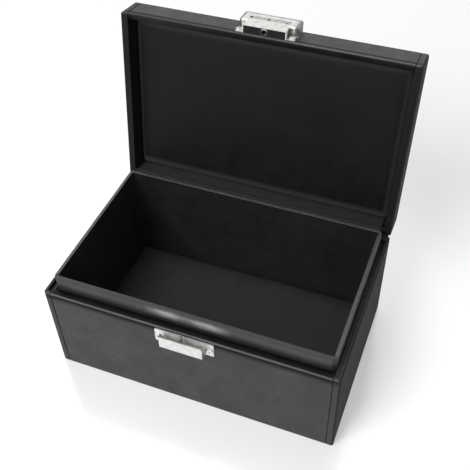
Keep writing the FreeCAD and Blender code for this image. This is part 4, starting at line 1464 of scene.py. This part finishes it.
@dataclass
class Base:
    """The base's soft outside and inside."""

    palette: Palette
    outer: Block = field(default_factory=lambda: Block.of("base_leather"))
    collar: Block = field(default_factory=lambda: Block.of("collar_lining"))
    front: Block = field(default_factory=lambda: Block.of("base_front_leather"))
    pad: Block = field(default_factory=lambda: Block.of("floor_pad"))
    hinge_flap: float = HINGE_FLAP
    strip_space: float = 0.6 * MM
    lining: float = LINING
    collar_corner: float = 2.4 * MM
    collar_round: float = 0.95 * MM
    belly: float = 1.1 * MM
    belly_height: float = 13.0 * MM
    skirt: float = 20.0 * MM
    cells: tuple[int, int] = (24, 16)
    well_levels: tuple[float, ...] = (0.2, 0.4, 0.6, 0.8)
    rim_levels: tuple[float, ...] = (1.6, 2.6, 3.6, 5.0, 6.5, 8.5, 10.5, 13.0)
    unevenness: float = 0.16 * MM
    swell: float = 0.03
    seam_gap: float = SEAM_GAP
    lip: float = 2.0 * MM
    groove: float = 3.2 * MM

    def build(self) -> None:
        """Builds every piece of the base."""
        self.shell()
        self.front_panel()
        self.rebated_boards()
        self.collar_cover()
        self.floor()
        self.stitching()

    def shell(self) -> None:
        """Leather round the sides and back."""
        low = Vector((self.collar.low.x, self.collar.low.y, 0.0))
        high = Vector((self.collar.high.x, self.collar.high.y + self.strip_space, 0.0))
        shell = LeatherShell(self.outer, Block(low, high), True, self.hinge_flap,
                             self.outer.high.x - self.front.high.x - self.seam_gap,
                             lip=self.lip, groove=self.groove)
        piece = shell.build("base_side_leather", self.palette)
        thicken(piece, shell.leather)
        level_normals(piece)
        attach(piece, "base")
        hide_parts("base_leather")
        log_faces(piece)

    def front_panel(self) -> None:
        """Front leather with its rolled rim."""
        rolled = RolledFront(Vector((0.0, self.outer.low.y, self.outer.high.z)), -Y_AXIS, Z_AXIS,
                             height=self.outer.high.z - self.outer.low.z,
                             ledge=self.collar.low.y - self.outer.low.y,
                             turn_in=15.0 * MM, fold_back=12.0 * MM, groove=self.groove,
                             lip=self.lip)
        piece = rolled.panel("base_front_panel", self.front.high.x, self.palette)
        thicken(piece, LEATHER)
        level_normals(piece)
        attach(piece, "base")
        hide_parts("base_front_leather")
        log_faces(piece)
        tape = rolled.backing("base_seam_tape", self.front.high.x + self.seam_gap / 2,
                              self.palette("thread"))
        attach(tape, "base")
        ends = rolled.bead_ends("base_bead_ends", self.front.high.x + self.seam_gap,
                                self.palette("burnished_leather"))
        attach(ends, "base")

    def rebated_boards(self) -> None:
        """Front and side boards, with the step that the groove behind the rim lies in."""
        front = Block.of("base_front_board")
        top = front.high.z
        step = top - self.groove - CLEAR
        inner = self.outer.low.y + self.lip - LEATHER
        self.board("base_front_rebated", "base_front_board",
                   [Vector((front.low.x, y, z)) for y, z in (
                       (front.low.y, front.low.z), (front.high.y, front.low.z),
                       (front.high.y, step), (inner, step), (inner, top), (front.low.y, top))],
                   X_AXIS * (front.high.x - front.low.x))
        for side, node in ((Side.LEFT, "base_left_board"), (Side.RIGHT, "base_right_board")):
            space = Block.of(node)
            outer, inside = sorted((space.low.x, space.high.x), key=abs, reverse=True)
            slack = self.outer.high.x - LEATHER - abs(outer)
            lip = outer - side.value * (self.lip - LEATHER - slack)
            self.board(f"{node[:-6]}_rebated", node,
                       [Vector((x, space.low.y, z)) for x, z in (
                           (outer, space.low.z), (inside, space.low.z), (inside, step),
                           (lip, step), (lip, space.high.z), (outer, space.high.z))],
                       Y_AXIS * (space.high.y - space.low.y))

    def board(self, name: str, node: str, section: Sequence[Vector], length: Vector) -> None:
        """Makes one board from its section.

        Args:
            name: Name of the piece.
            node: The CAD board that it stands for.
            section: Corners of its section.
            length: Its length, as a step.
        """
        form = Form()
        form.prism(section, length)
        piece = form.finish(name, self.palette("fibreboard"), Shading.CRISP)
        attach(piece, "base")
        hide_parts(node)
        log_faces(piece)

    def collar_cover(self) -> None:
        """Lining leather: the well inside, over the rim and down the collar's outside."""
        wall = COLLAR_WALL
        low, high = self.collar.low, self.collar.high
        skirt_low = high.z - self.skirt
        form = Form()
        form.block(Block(Vector((low.x, low.y, skirt_low)), high))
        form.ease(form.edges(is_upright), self.collar_corner, 6)
        form.drop(lambda at: near(at.z, skirt_low))
        inner_low = Vector((low.x + wall, low.y + wall, 0.0))
        inner_high = Vector((high.x - wall, high.y - wall, 0.0))
        form.slice(0, inner_low.x, inner_high.x)
        form.slice(1, inner_low.y, inner_high.y)
        opening = Block(inner_low, inner_high)
        form.drop(lambda at: near(at.z, high.z) and opening.covers(at))
        on_rim = lies_at(high.z)
        inner = [edge for edge in form.bm.edges if edge.is_boundary
                 and on_rim(edge.verts[0].co, edge.verts[1].co)]
        form.turn_in(inner, -Z_AXIS * (high.z - low.z))
        form.ease(form.edges(lambda a, b: on_rim(a, b)
                             and self.is_rim(a, b, inner_low, inner_high)),
                  self.collar_round, 5)
        form.slice(2, *(low.z + (high.z - low.z) * share for share in self.well_levels))
        for axis, count in enumerate(self.cells):
            form.slice(axis, *(low[axis] + (high[axis] - low[axis]) * step / count
                               for step in range(1, count)))
        form.slice(2, *(high.z - drop * MM for drop in self.rim_levels))
        # The rim and outside take the lighter copy of the lining, which paints the light on them; the well inside
        # keeps the darker lining.
        well = opening.grown(0.3 * MM)
        for face in form.bm.faces:
            at = face.calc_center_median()
            face.material_index = int(well.covers(at) and at.z < high.z - 0.3 * MM)

        def sag(at: Vector) -> Vector:
            """Leather pulled over thin card: slightly uneven, and full at the front."""
            depth = self.unevenness * ripple(at, self.swell, 3.0)
            if abs(at.x) > inner_high.x - 1e-5:
                return X_AXIS * depth
            drop = high.z - at.z
            if at.y < low.y + 0.4 * MM and drop < self.belly_height:
                depth -= self.belly * math.sin(math.pi * drop / self.belly_height)
            return Y_AXIS * depth
        form.shift(sag)
        piece = form.finish("collar_cover", self.palette("collar_leather"), Shading.SOFT)
        piece.data.materials.append(self.palette("lining_leather"))
        thicken(piece, self.lining)
        level_normals(piece)
        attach(piece, "base")
        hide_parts("collar_lining")
        log_faces(piece)

    def is_rim(self, first: Vector, second: Vector, low: Vector, high: Vector) -> bool:
        """Whether an edge runs along the collar's outer or inner rim.

        Args:
            first: One end of the edge.
            second: Other end of the edge.
            low: Lowest corner of the well.
            high: Highest corner of the well.

        Returns:
            True if it does.
        """
        def outside(at: Vector) -> bool:
            """Whether a point stands on the collar's outer outline."""
            corner = self.collar_corner * 1.01
            on_side = (near(abs(at.x), self.collar.high.x)
                       or near(at.y, self.collar.low.y) or near(at.y, self.collar.high.y))
            near_corner = (abs(at.x) > self.collar.high.x - corner
                           and (at.y < self.collar.low.y + corner
                                or at.y > self.collar.high.y - corner))
            return on_side or near_corner

        def inside(at: Vector) -> bool:
            """Whether a point stands on the outline of the well."""
            on_x = near(at.x, low.x) or near(at.x, high.x)
            on_y = near(at.y, low.y) or near(at.y, high.y)
            return (on_x and low.y - NEAR < at.y < high.y + NEAR) or (
                on_y and low.x - NEAR < at.x < high.x + NEAR)
        return (outside(first) and outside(second)) or (inside(first) and inside(second))

    def floor(self) -> None:
        """Loose covered pad on the floor: filled face down, then turned over."""
        turn = Matrix.Rotation(math.pi, 4, "X")
        low, high = turn @ self.pad.low, turn @ self.pad.high
        space = Block(Vector((low.x, high.y, high.z)), Vector((high.x, low.y, low.z)))
        pad = PaddedPanel(space, start_inset=0.25 * MM, side_inset=-1.4 * MM, edge=0.8 * MM,
                          voxel=2.3 * MM, limit=0.45 * MM, easing=2, settled=1.2 * MM)
        piece = pad.build("floor_cover", self.palette("floor_leather"), turn)
        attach(piece, "base")
        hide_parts("floor_pad")
        log_faces(piece)

    def stitching(self) -> None:
        """Rows of stitches on the two corner strips."""
        piece = Stitches().corners("base_stitching", self.front.high.x + self.seam_gap,
                                   self.outer, margin=3.0 * MM,
                                   material=self.palette("thread"))
        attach(piece, "base")
        log_faces(piece)


# ------------------------------------------------------------------ lid


@dataclass
class Lid:
    """The lid's soft outside and its padded panel, drawn shut and then opened."""

    palette: Palette
    hinge: LidHinge
    seam_gap: float = SEAM_GAP
    lip: float = 2.1 * MM
    rebate: float = 2.4 * MM
    turn_in: float = 16.4 * MM

    def __post_init__(self) -> None:
        """Reads the spaces of the lid's CAD nodes."""
        self.outer = self.hinge.shut_block("lid_leather")
        self.front = self.hinge.shut_block("lid_front_leather")
        self.pad = self.hinge.shut_block("lid_pad_cover")
        self.open = self.hinge.opening()
        self.wall = self.outer.high.x - self.pad.high.x - 0.3 * MM

    def build(self) -> None:
        """Builds every piece of the lid."""
        self.shell()
        self.front_panel()
        self.rebated_board()
        self.shield_tray()
        self.padded_panel()
        self.stitching()

    def shell(self) -> None:
        """Leather over the top, sides and back."""
        low = Vector((self.outer.low.x + self.wall, self.outer.low.y + self.wall, 0.0))
        high = Vector((self.outer.high.x - self.wall, self.outer.high.y - self.wall, 0.0))
        shell = LeatherShell(self.outer, Block(low, high), False, HINGE_FLAP,
                             self.outer.high.x - self.front.high.x - self.seam_gap,
                             turn_in=self.turn_in, far_round=1.7 * MM, inner_round=1.5 * MM,
                             closed=True)
        piece = shell.build("lid_side_leather", self.palette, self.open)
        thicken(piece, shell.leather)
        level_normals(piece)
        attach(piece, "lid")
        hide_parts("lid_leather")
        log_faces(piece)

    def front_panel(self) -> None:
        """Front leather with its rolled rim."""
        rolled = RolledFront(Vector((0.0, self.outer.low.y, self.outer.low.z)), -Y_AXIS, -Z_AXIS,
                             height=self.front.high.z - self.front.low.z,
                             ledge=self.wall, turn_in=self.turn_in, fold_back=0.0,
                             groove=self.rebate, lip=self.lip, inside="lining_leather",
                             capped=True)
        piece = rolled.panel("lid_front_panel", self.front.high.x, self.palette, self.open)
        thicken(piece, LEATHER)
        level_normals(piece)
        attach(piece, "lid")
        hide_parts("lid_front_leather")
        log_faces(piece)
        tape = rolled.backing("lid_seam_tape", self.front.high.x + self.seam_gap / 2,
                              self.palette("thread"), self.open)
        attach(tape, "lid")
        ends = rolled.bead_ends("lid_bead_ends", self.front.high.x + self.seam_gap,
                                self.palette("burnished_leather"), self.open)
        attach(ends, "lid")

    def rebated_board(self) -> None:
        """Front board, with a step behind the rolled rim."""
        space = self.hinge.shut_block("lid_front_board")
        step = space.low.z + self.rebate + CLEAR
        inner = self.outer.low.y + self.lip - LEATHER
        form = Form()
        form.prism([Vector((space.low.x, y, z)) for y, z in (
            (space.low.y, space.high.z), (space.high.y, space.high.z), (space.high.y, step),
            (inner, step), (inner, space.low.z), (space.low.y, space.low.z))],
            X_AXIS * (space.high.x - space.low.x))
        piece = form.finish("lid_front_rebated", self.palette("fibreboard"), Shading.CRISP,
                            self.open)
        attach(piece, "lid")
        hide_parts("lid_front_board")
        log_faces(piece)

    def shield_tray(self) -> None:
        """Screening cloth inside the boards, cut lower at the front for the step there."""
        space = self.hinge.shut_block("lid_shield")
        step = space.low.z + self.rebate
        form = Form()
        form.block(space)
        form.slice(2, step)
        form.drop(lambda at: near(at.z, space.low.z)
                  or (near(at.y, space.low.y) and at.z < step))
        piece = form.finish("lid_shield_tray", self.palette("screening_cloth"), Shading.CRISP,
                            self.open)
        thicken(piece, 0.3 * MM)
        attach(piece, "lid")
        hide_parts("lid_shield")
        log_faces(piece)

    def padded_panel(self) -> None:
        """Padded leather panel that fills the lid."""
        panel = PaddedPanel(self.pad)
        piece = panel.build("lid_padded_panel", self.palette("panel_leather"), self.open)
        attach(piece, "lid")
        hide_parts("lid_pad_cover", "lid_pad_foam")
        log_faces(piece)

    def stitching(self) -> None:
        """Rows of stitches on the two corner strips."""
        piece = Stitches().corners("lid_stitching", self.front.high.x + self.seam_gap,
                                   self.outer, margin=2.5 * MM,
                                   material=self.palette("thread"), place=self.open)
        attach(piece, "lid")
        log_faces(piece)


@dataclass
class PaddedPanel:
    """A board covered with foam and leather, glued in by its back."""

    space: Block
    start_inset: float = -2.2 * MM
    side_inset: float = -0.22 * MM
    edge: float = 2.4 * MM
    corner: float = 1.2 * MM
    voxel: float = 2.2 * MM
    pressure: float = 4.0
    frames: int = 20
    limit: float = 0.8 * MM
    easing: int = 8
    settled: float = 1.6 * MM

    def build(self, name: str, material: bpy.types.Material,
              place: Matrix) -> bpy.types.Object:
        """Builds and fills the panel.

        Args:
            name: Name of the piece.
            material: Its leather.
            place: The turn to the open lid.

        Returns:
            The panel.
        """
        low, high = self.space.low.copy(), self.space.high.copy()
        inset = Vector((self.side_inset, self.side_inset, 0.0))
        form = Form()
        form.block(Block(low + inset + Z_AXIS * self.start_inset, high - inset))
        form.ease(form.edges(is_upright), self.corner, 4)
        face = low.z + self.start_inset
        form.ease(form.edges(lies_at(face)), self.edge, 4)
        piece = form.finish(name, material, Shading.SOFT)
        self.remesh(piece)
        self.fill(piece, high.z)
        soft = piece.modifiers.new("soften", "SUBSURF")
        soft.levels = 1
        soft.render_levels = 1
        piece.data.transform(place)
        piece.data.shade_smooth()
        return piece

    def remesh(self, piece: bpy.types.Object) -> None:
        """Gives the panel an even mesh.

        Args:
            piece: The panel.
        """
        even = piece.modifiers.new("even", "REMESH")
        even.mode = "VOXEL"
        even.voxel_size = self.voxel
        self.apply(piece)

    @staticmethod
    def apply(piece: bpy.types.Object) -> None:
        """Keeps what the modifiers have made of a piece, and removes them.

        Args:
            piece: The piece.
        """
        graph = bpy.context.evaluated_depsgraph_get()
        made = bpy.data.meshes.new_from_object(piece.evaluated_get(graph))
        piece.modifiers.clear()
        piece.data = made

    def fill(self, piece: bpy.types.Object, back: float) -> None:
        """Fills the panel with Blender's cloth pressure, held by its glued back.

        Args:
            piece: The panel.
            back: Height of the glued face.
        """
        rest = [vert.co.copy() for vert in piece.data.vertices]
        glued = piece.vertex_groups.new(name="glued")
        glued.add([vert.index for vert in piece.data.vertices
                   if vert.co.z > back - 0.6 * self.voxel], 1.0, "REPLACE")
        cloth = piece.modifiers.new("filling", "CLOTH")
        cloth.settings.use_pressure = True
        cloth.settings.uniform_pressure_force = self.pressure
        cloth.settings.effector_weights.gravity = 0.0
        cloth.settings.vertex_group_mass = glued.name
        cloth.point_cache.frame_start = 1
        cloth.point_cache.frame_end = self.frames
        for step in range(1, self.frames + 1):
            bpy.context.scene.frame_set(step)
        graph = bpy.context.evaluated_depsgraph_get()
        shaped = piece.evaluated_get(graph).data
        moved = [vert.co.copy() for vert in shaped.vertices]
        piece.modifiers.clear()
        piece.vertex_groups.clear()
        for vert, start, end in zip(piece.data.vertices, rest, moved):
            step = end - start
            if step.length > self.limit:
                step *= self.limit / step.length
            vert.co = start + step
        bpy.context.scene.frame_set(1)
        self.settle(piece)

    def settle(self, piece: bpy.types.Object) -> None:
        """Lets the foam even out the small folds of the filled leather.

        Args:
            piece: The panel.
        """
        form = Form()
        form.bm.from_mesh(piece.data)
        free = [vert for vert in form.bm.verts if vert.co.z < self.space.high.z - self.settled]
        for _ in range(self.easing):
            bmesh.ops.smooth_vert(form.bm, verts=free, factor=0.5,
                                  use_axis_x=True, use_axis_y=True, use_axis_z=True)
        form.bm.to_mesh(piece.data)
        form.bm.free()


# ------------------------------------------------------------------ hinge strips


@dataclass
class HingeStrips:
    """The leather that flexes at the back: the outer fold and the strip inside."""

    palette: Palette
    hinge: LidHinge
    base_outer: Block = field(default_factory=lambda: Block.of("base_leather"))
    collar: Block = field(default_factory=lambda: Block.of("collar_lining"))
    leather: float = LEATHER
    lining: float = LINING
    flap: float = HINGE_FLAP
    corner: float = SIDE_CORNER
    bend: float = 0.25 * MM
    bend_steps: int = 10
    columns: int = 40
    bow: float = 0.35 * MM

    def build(self) -> None:
        """Builds both strips."""
        self.outer_fold()
        self.inner_strip()

    def strip(self, name: str, line: Sequence[Vector], half_width: float, depth: float,
              finish: str) -> bpy.types.Object:
        """Makes one strip from the line of its visible face.

        Args:
            name: Name of the piece.
            line: Points of the visible face, in the plane across X.
            half_width: Half the strip's width.
            depth: Its thickness.
            finish: Name of its finish.

        Returns:
            The strip.
        """
        form = Form()
        edges = form.chain([point - X_AXIS * half_width for point in line])
        form.draw_along(edges, X_AXIS * 2.0 * half_width, self.columns)
        form.bm.normal_update()
        bmesh.ops.solidify(form.bm, geom=list(form.bm.faces), thickness=depth)
        return form.finish(name, self.palette(finish), Shading.CRISP)

    def outer_fold(self) -> None:
        """Outer leather between the base's back and the lid's back."""
        at = self.hinge.at
        opening = self.hinge.opening()
        low = Vector((0.0, at.y, self.base_outer.high.z - self.flap))
        top = opening @ Vector((0.0, at.y, at.z + self.flap + 0.1 * MM))
        points = [low, low.lerp(at, 0.5), low.lerp(at, 0.85)]
        for step in range(self.bend_steps + 1):
            angle = self.hinge.angle * step / self.bend_steps
            arm = Vector((0.0, -math.cos(angle), math.sin(angle))) * self.bend
            points.append(Vector((0.0, at.y + self.bend, at.z)) + arm)
        points += [at.lerp(top, 0.4), at.lerp(top, 0.7), top]
        half = self.base_outer.high.x - self.corner
        piece = self.strip("hinge_fold", points, half, self.leather, "outer_leather")
        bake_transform(piece)
        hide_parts("hinge_leather")
        log_faces(piece)

    def inner_strip(self) -> None:
        """Lining from behind the collar to the lid's back wall, which holds the open lid."""
        opening = self.hinge.opening()
        wall = self.hinge.shut_block("lid_pad_cover").high.y + 0.3 * MM
        panel = self.hinge.shut_block("lid_pad_cover").low.z
        rim = self.hinge.shut_block("lid_leather").low.z
        front = self.collar.high.y + CLEAR
        low = Vector((0.0, front, self.base_outer.high.z - 15.0 * MM))
        lip = Vector((0.0, front, self.base_outer.high.z))
        edge = opening @ Vector((0.0, wall - self.lining, rim))
        top = opening @ Vector((0.0, wall - self.lining, panel + 4.5 * MM))
        points = [low, low.lerp(lip, 0.5), low.lerp(lip, 0.9)]
        points += self.sagging(lip, edge)
        points += [edge.lerp(top, 0.3), edge.lerp(top, 0.65), top]
        half = self.collar.high.x - COLLAR_WALL
        # The hinge strip takes the lighter copy of the lining, painting the light that falls on it.
        piece = self.strip("hinge_strip", points, half, self.lining, "strip_leather")
        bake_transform(piece)
        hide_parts("hinge_lining")
        log_faces(piece)

    def sagging(self, start: Vector, end: Vector) -> list[Vector]:
        """Points of the free span of the strip, which bows a little.

        Args:
            start: Where the strip leaves the collar.
            end: Where it meets the lid.

        Returns:
            The points in order.
        """
        away = X_AXIS.cross(end - start).normalized() * self.bow
        return [start.lerp(end, step / self.bend_steps)
                - away * math.sin(math.pi * step / self.bend_steps)
                for step in range(self.bend_steps + 1)]


# ------------------------------------------------------------------ latch


@dataclass
class Latch:
    """Metal parts of the catch and the keeper."""

    sheet_edge: float = 0.14 * MM
    head_edge: float = 0.4 * MM
    spring_wire: float = 0.4 * MM

    def build(self) -> None:
        """Breaks the sharp edges of the metal and copies the spring into a piece of its own."""
        for node in ("catch_plate", "latch_lever", "keeper_plate"):
            break_edges(node, self.sheet_edge)
        for node in ("catch_screws", "keeper_screws"):
            break_edges(node, self.head_edge, 4)
        LOG.info("latch: edges broken on five parts")
        self.spring()

    def spring(self) -> None:
        """Torsion spring, copied from its CAD node into a piece of its own; the node is hidden."""
        node = frame["nodes"]["lever_spring"]
        mesh = node.data.copy()
        mesh.transform(node.matrix_world)
        piece = bpy.data.objects.new("lever_spring_wound", mesh)
        bpy.context.scene.collection.objects.link(piece)
        space = Block.of("lever_spring")
        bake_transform(piece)
        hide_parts("lever_spring")
        log_faces(piece)


# ------------------------------------------------------------------ studio


@dataclass(frozen=True)
class Viewpoint:
    """Where the camera stands and how it is turned."""

    place: Vector = Vector((0.13907, -0.31051, 0.44782))
    forward: Vector = Vector((-0.26835, 0.64773, -0.71304))
    right: Vector = Vector((0.93240, 0.36067, -0.02327))
    lens: float = 57.71
    sensor: float = 36.0

    def build(self) -> None:
        """Makes the camera and hands it to the scene."""
        data = bpy.data.cameras.new("camera")
        data.lens = self.lens
        data.sensor_width = self.sensor
        data.clip_start = 0.01
        data.clip_end = 20.0
        camera = bpy.data.objects.new("camera", data)
        back = -self.forward.normalized()
        right = (self.right - back * self.right.dot(back)).normalized()
        turn = Matrix((right, back.cross(right), back)).transposed().to_4x4()
        camera.matrix_world = Matrix.Translation(self.place) @ turn
        bpy.context.scene.collection.objects.link(camera)
        bpy.context.scene.camera = camera


@dataclass(frozen=True)
class SoftLamp:
    """A large soft lamp that looks at the box."""

    name: str
    place: tuple[float, float, float]
    size: float
    power: float
    aim: tuple[float, float, float] = (0.0, 0.0, 0.06)

    def build(self) -> None:
        """Puts the lamp into the scene."""
        data = bpy.data.lights.new(self.name, "AREA")
        data.shape = "DISK"
        data.size = self.size
        data.energy = self.power
        lamp = bpy.data.objects.new(self.name, data)
        place = Vector(self.place)
        lamp.location = place
        lamp.rotation_mode = "QUATERNION"
        lamp.rotation_quaternion = (Vector(self.aim) - place).to_track_quat("-Z", "Y")
        bpy.context.scene.collection.objects.link(lamp)


@dataclass
class Studio:
    """Pale floor, white surroundings, lamps and camera."""

    floor_size: float = 6.0
    floor_lift: float = 0.36
    ambient: float = 0.28
    lamps: tuple[SoftLamp, ...] = (
        SoftLamp("key", (-0.48, -1.05, 1.2), 0.9, 22.0),
        SoftLamp("top", (-0.35, 0.8, 1.5), 1.6, 10.0),
        SoftLamp("side", (1.3, -1.3, 0.8), 1.2, 0.7),
    )

    def build(self) -> None:
        """Builds the studio."""
        scene = bpy.context.scene
        scene.view_settings.view_transform = "Standard"
        self.floor()
        self.surroundings()
        for lamp in self.lamps:
            lamp.build()
        Viewpoint().build()

    @staticmethod
    def seen(tree: Tree) -> bpy.types.NodeSocket:
        """A mask that is 1 for what the camera, gloss or glass sees.

        Args:
            tree: The tree to add the nodes to.

        Returns:
            The mask.
        """
        rays = tree.add("ShaderNodeLightPath").outputs
        gloss = tree.math("MAXIMUM", rays["Is Glossy Ray"], rays["Is Transmission Ray"])
        return tree.math("MAXIMUM", rays["Is Camera Ray"], gloss)

    def floor(self) -> None:
        """A white floor that keeps the box's shadow."""
        form = Form()
        bmesh.ops.create_grid(form.bm, x_segments=1, y_segments=1, size=self.floor_size / 2)
        material = bpy.data.materials.new("floor")
        material.use_nodes = True
        tree = Tree(material.node_tree)
        shader = material.node_tree.nodes["Principled BSDF"]
        place = tree.add("ShaderNodeTexCoord").outputs["Object"]
        colour = tree.blend(tree.noise(place, 4.0), (0.61, 0.61, 0.615, 1.0),
                            (0.63, 0.63, 0.63, 1.0))
        lift = tree.math("MULTIPLY", self.seen(tree), self.floor_lift)
        glow = tree.blend(lift, (0.0, 0.0, 0.0, 1.0), (1.0, 1.0, 1.0, 1.0))
        material.node_tree.links.new(colour, shader.inputs["Base Color"])
        material.node_tree.links.new(glow, shader.inputs["Emission Color"])
        shader.inputs["Emission Strength"].default_value = 1.0
        shader.inputs["Roughness"].default_value = 0.16
        shader.inputs["Specular IOR Level"].default_value = 0.8
        form.finish("floor", material, Shading.SOFT, facing=Z_AXIS)

    def surroundings(self) -> None:
        """Even light from all round, seen as white."""
        world = bpy.data.worlds.new("surroundings")
        world.use_nodes = True
        tree = Tree(world.node_tree)
        sky = world.node_tree.nodes["Background"]
        bright = tree.spread(self.seen(tree), 0.0, 1.0, self.ambient, 1.0)
        world.node_tree.links.new(bright, sky.inputs["Strength"])
        sky.inputs["Color"].default_value = (1.0, 1.0, 1.0, 1.0)
        bpy.context.scene.world = world


def main() -> None:
    """Builds the dressed box in its studio."""
    logging.basicConfig(level=logging.INFO, format="%(name)s: %(message)s")
    hinge = LidHinge(frame["joints"])
    palette = Palette(hinge.opening().inverted())
    palette.dress_nodes()
    Studio().build()
    Base(palette).build()
    Lid(palette, hinge).build()
    HingeStrips(palette, hinge).build()
    Latch().build()


if __name__ == "__main__":
    main()
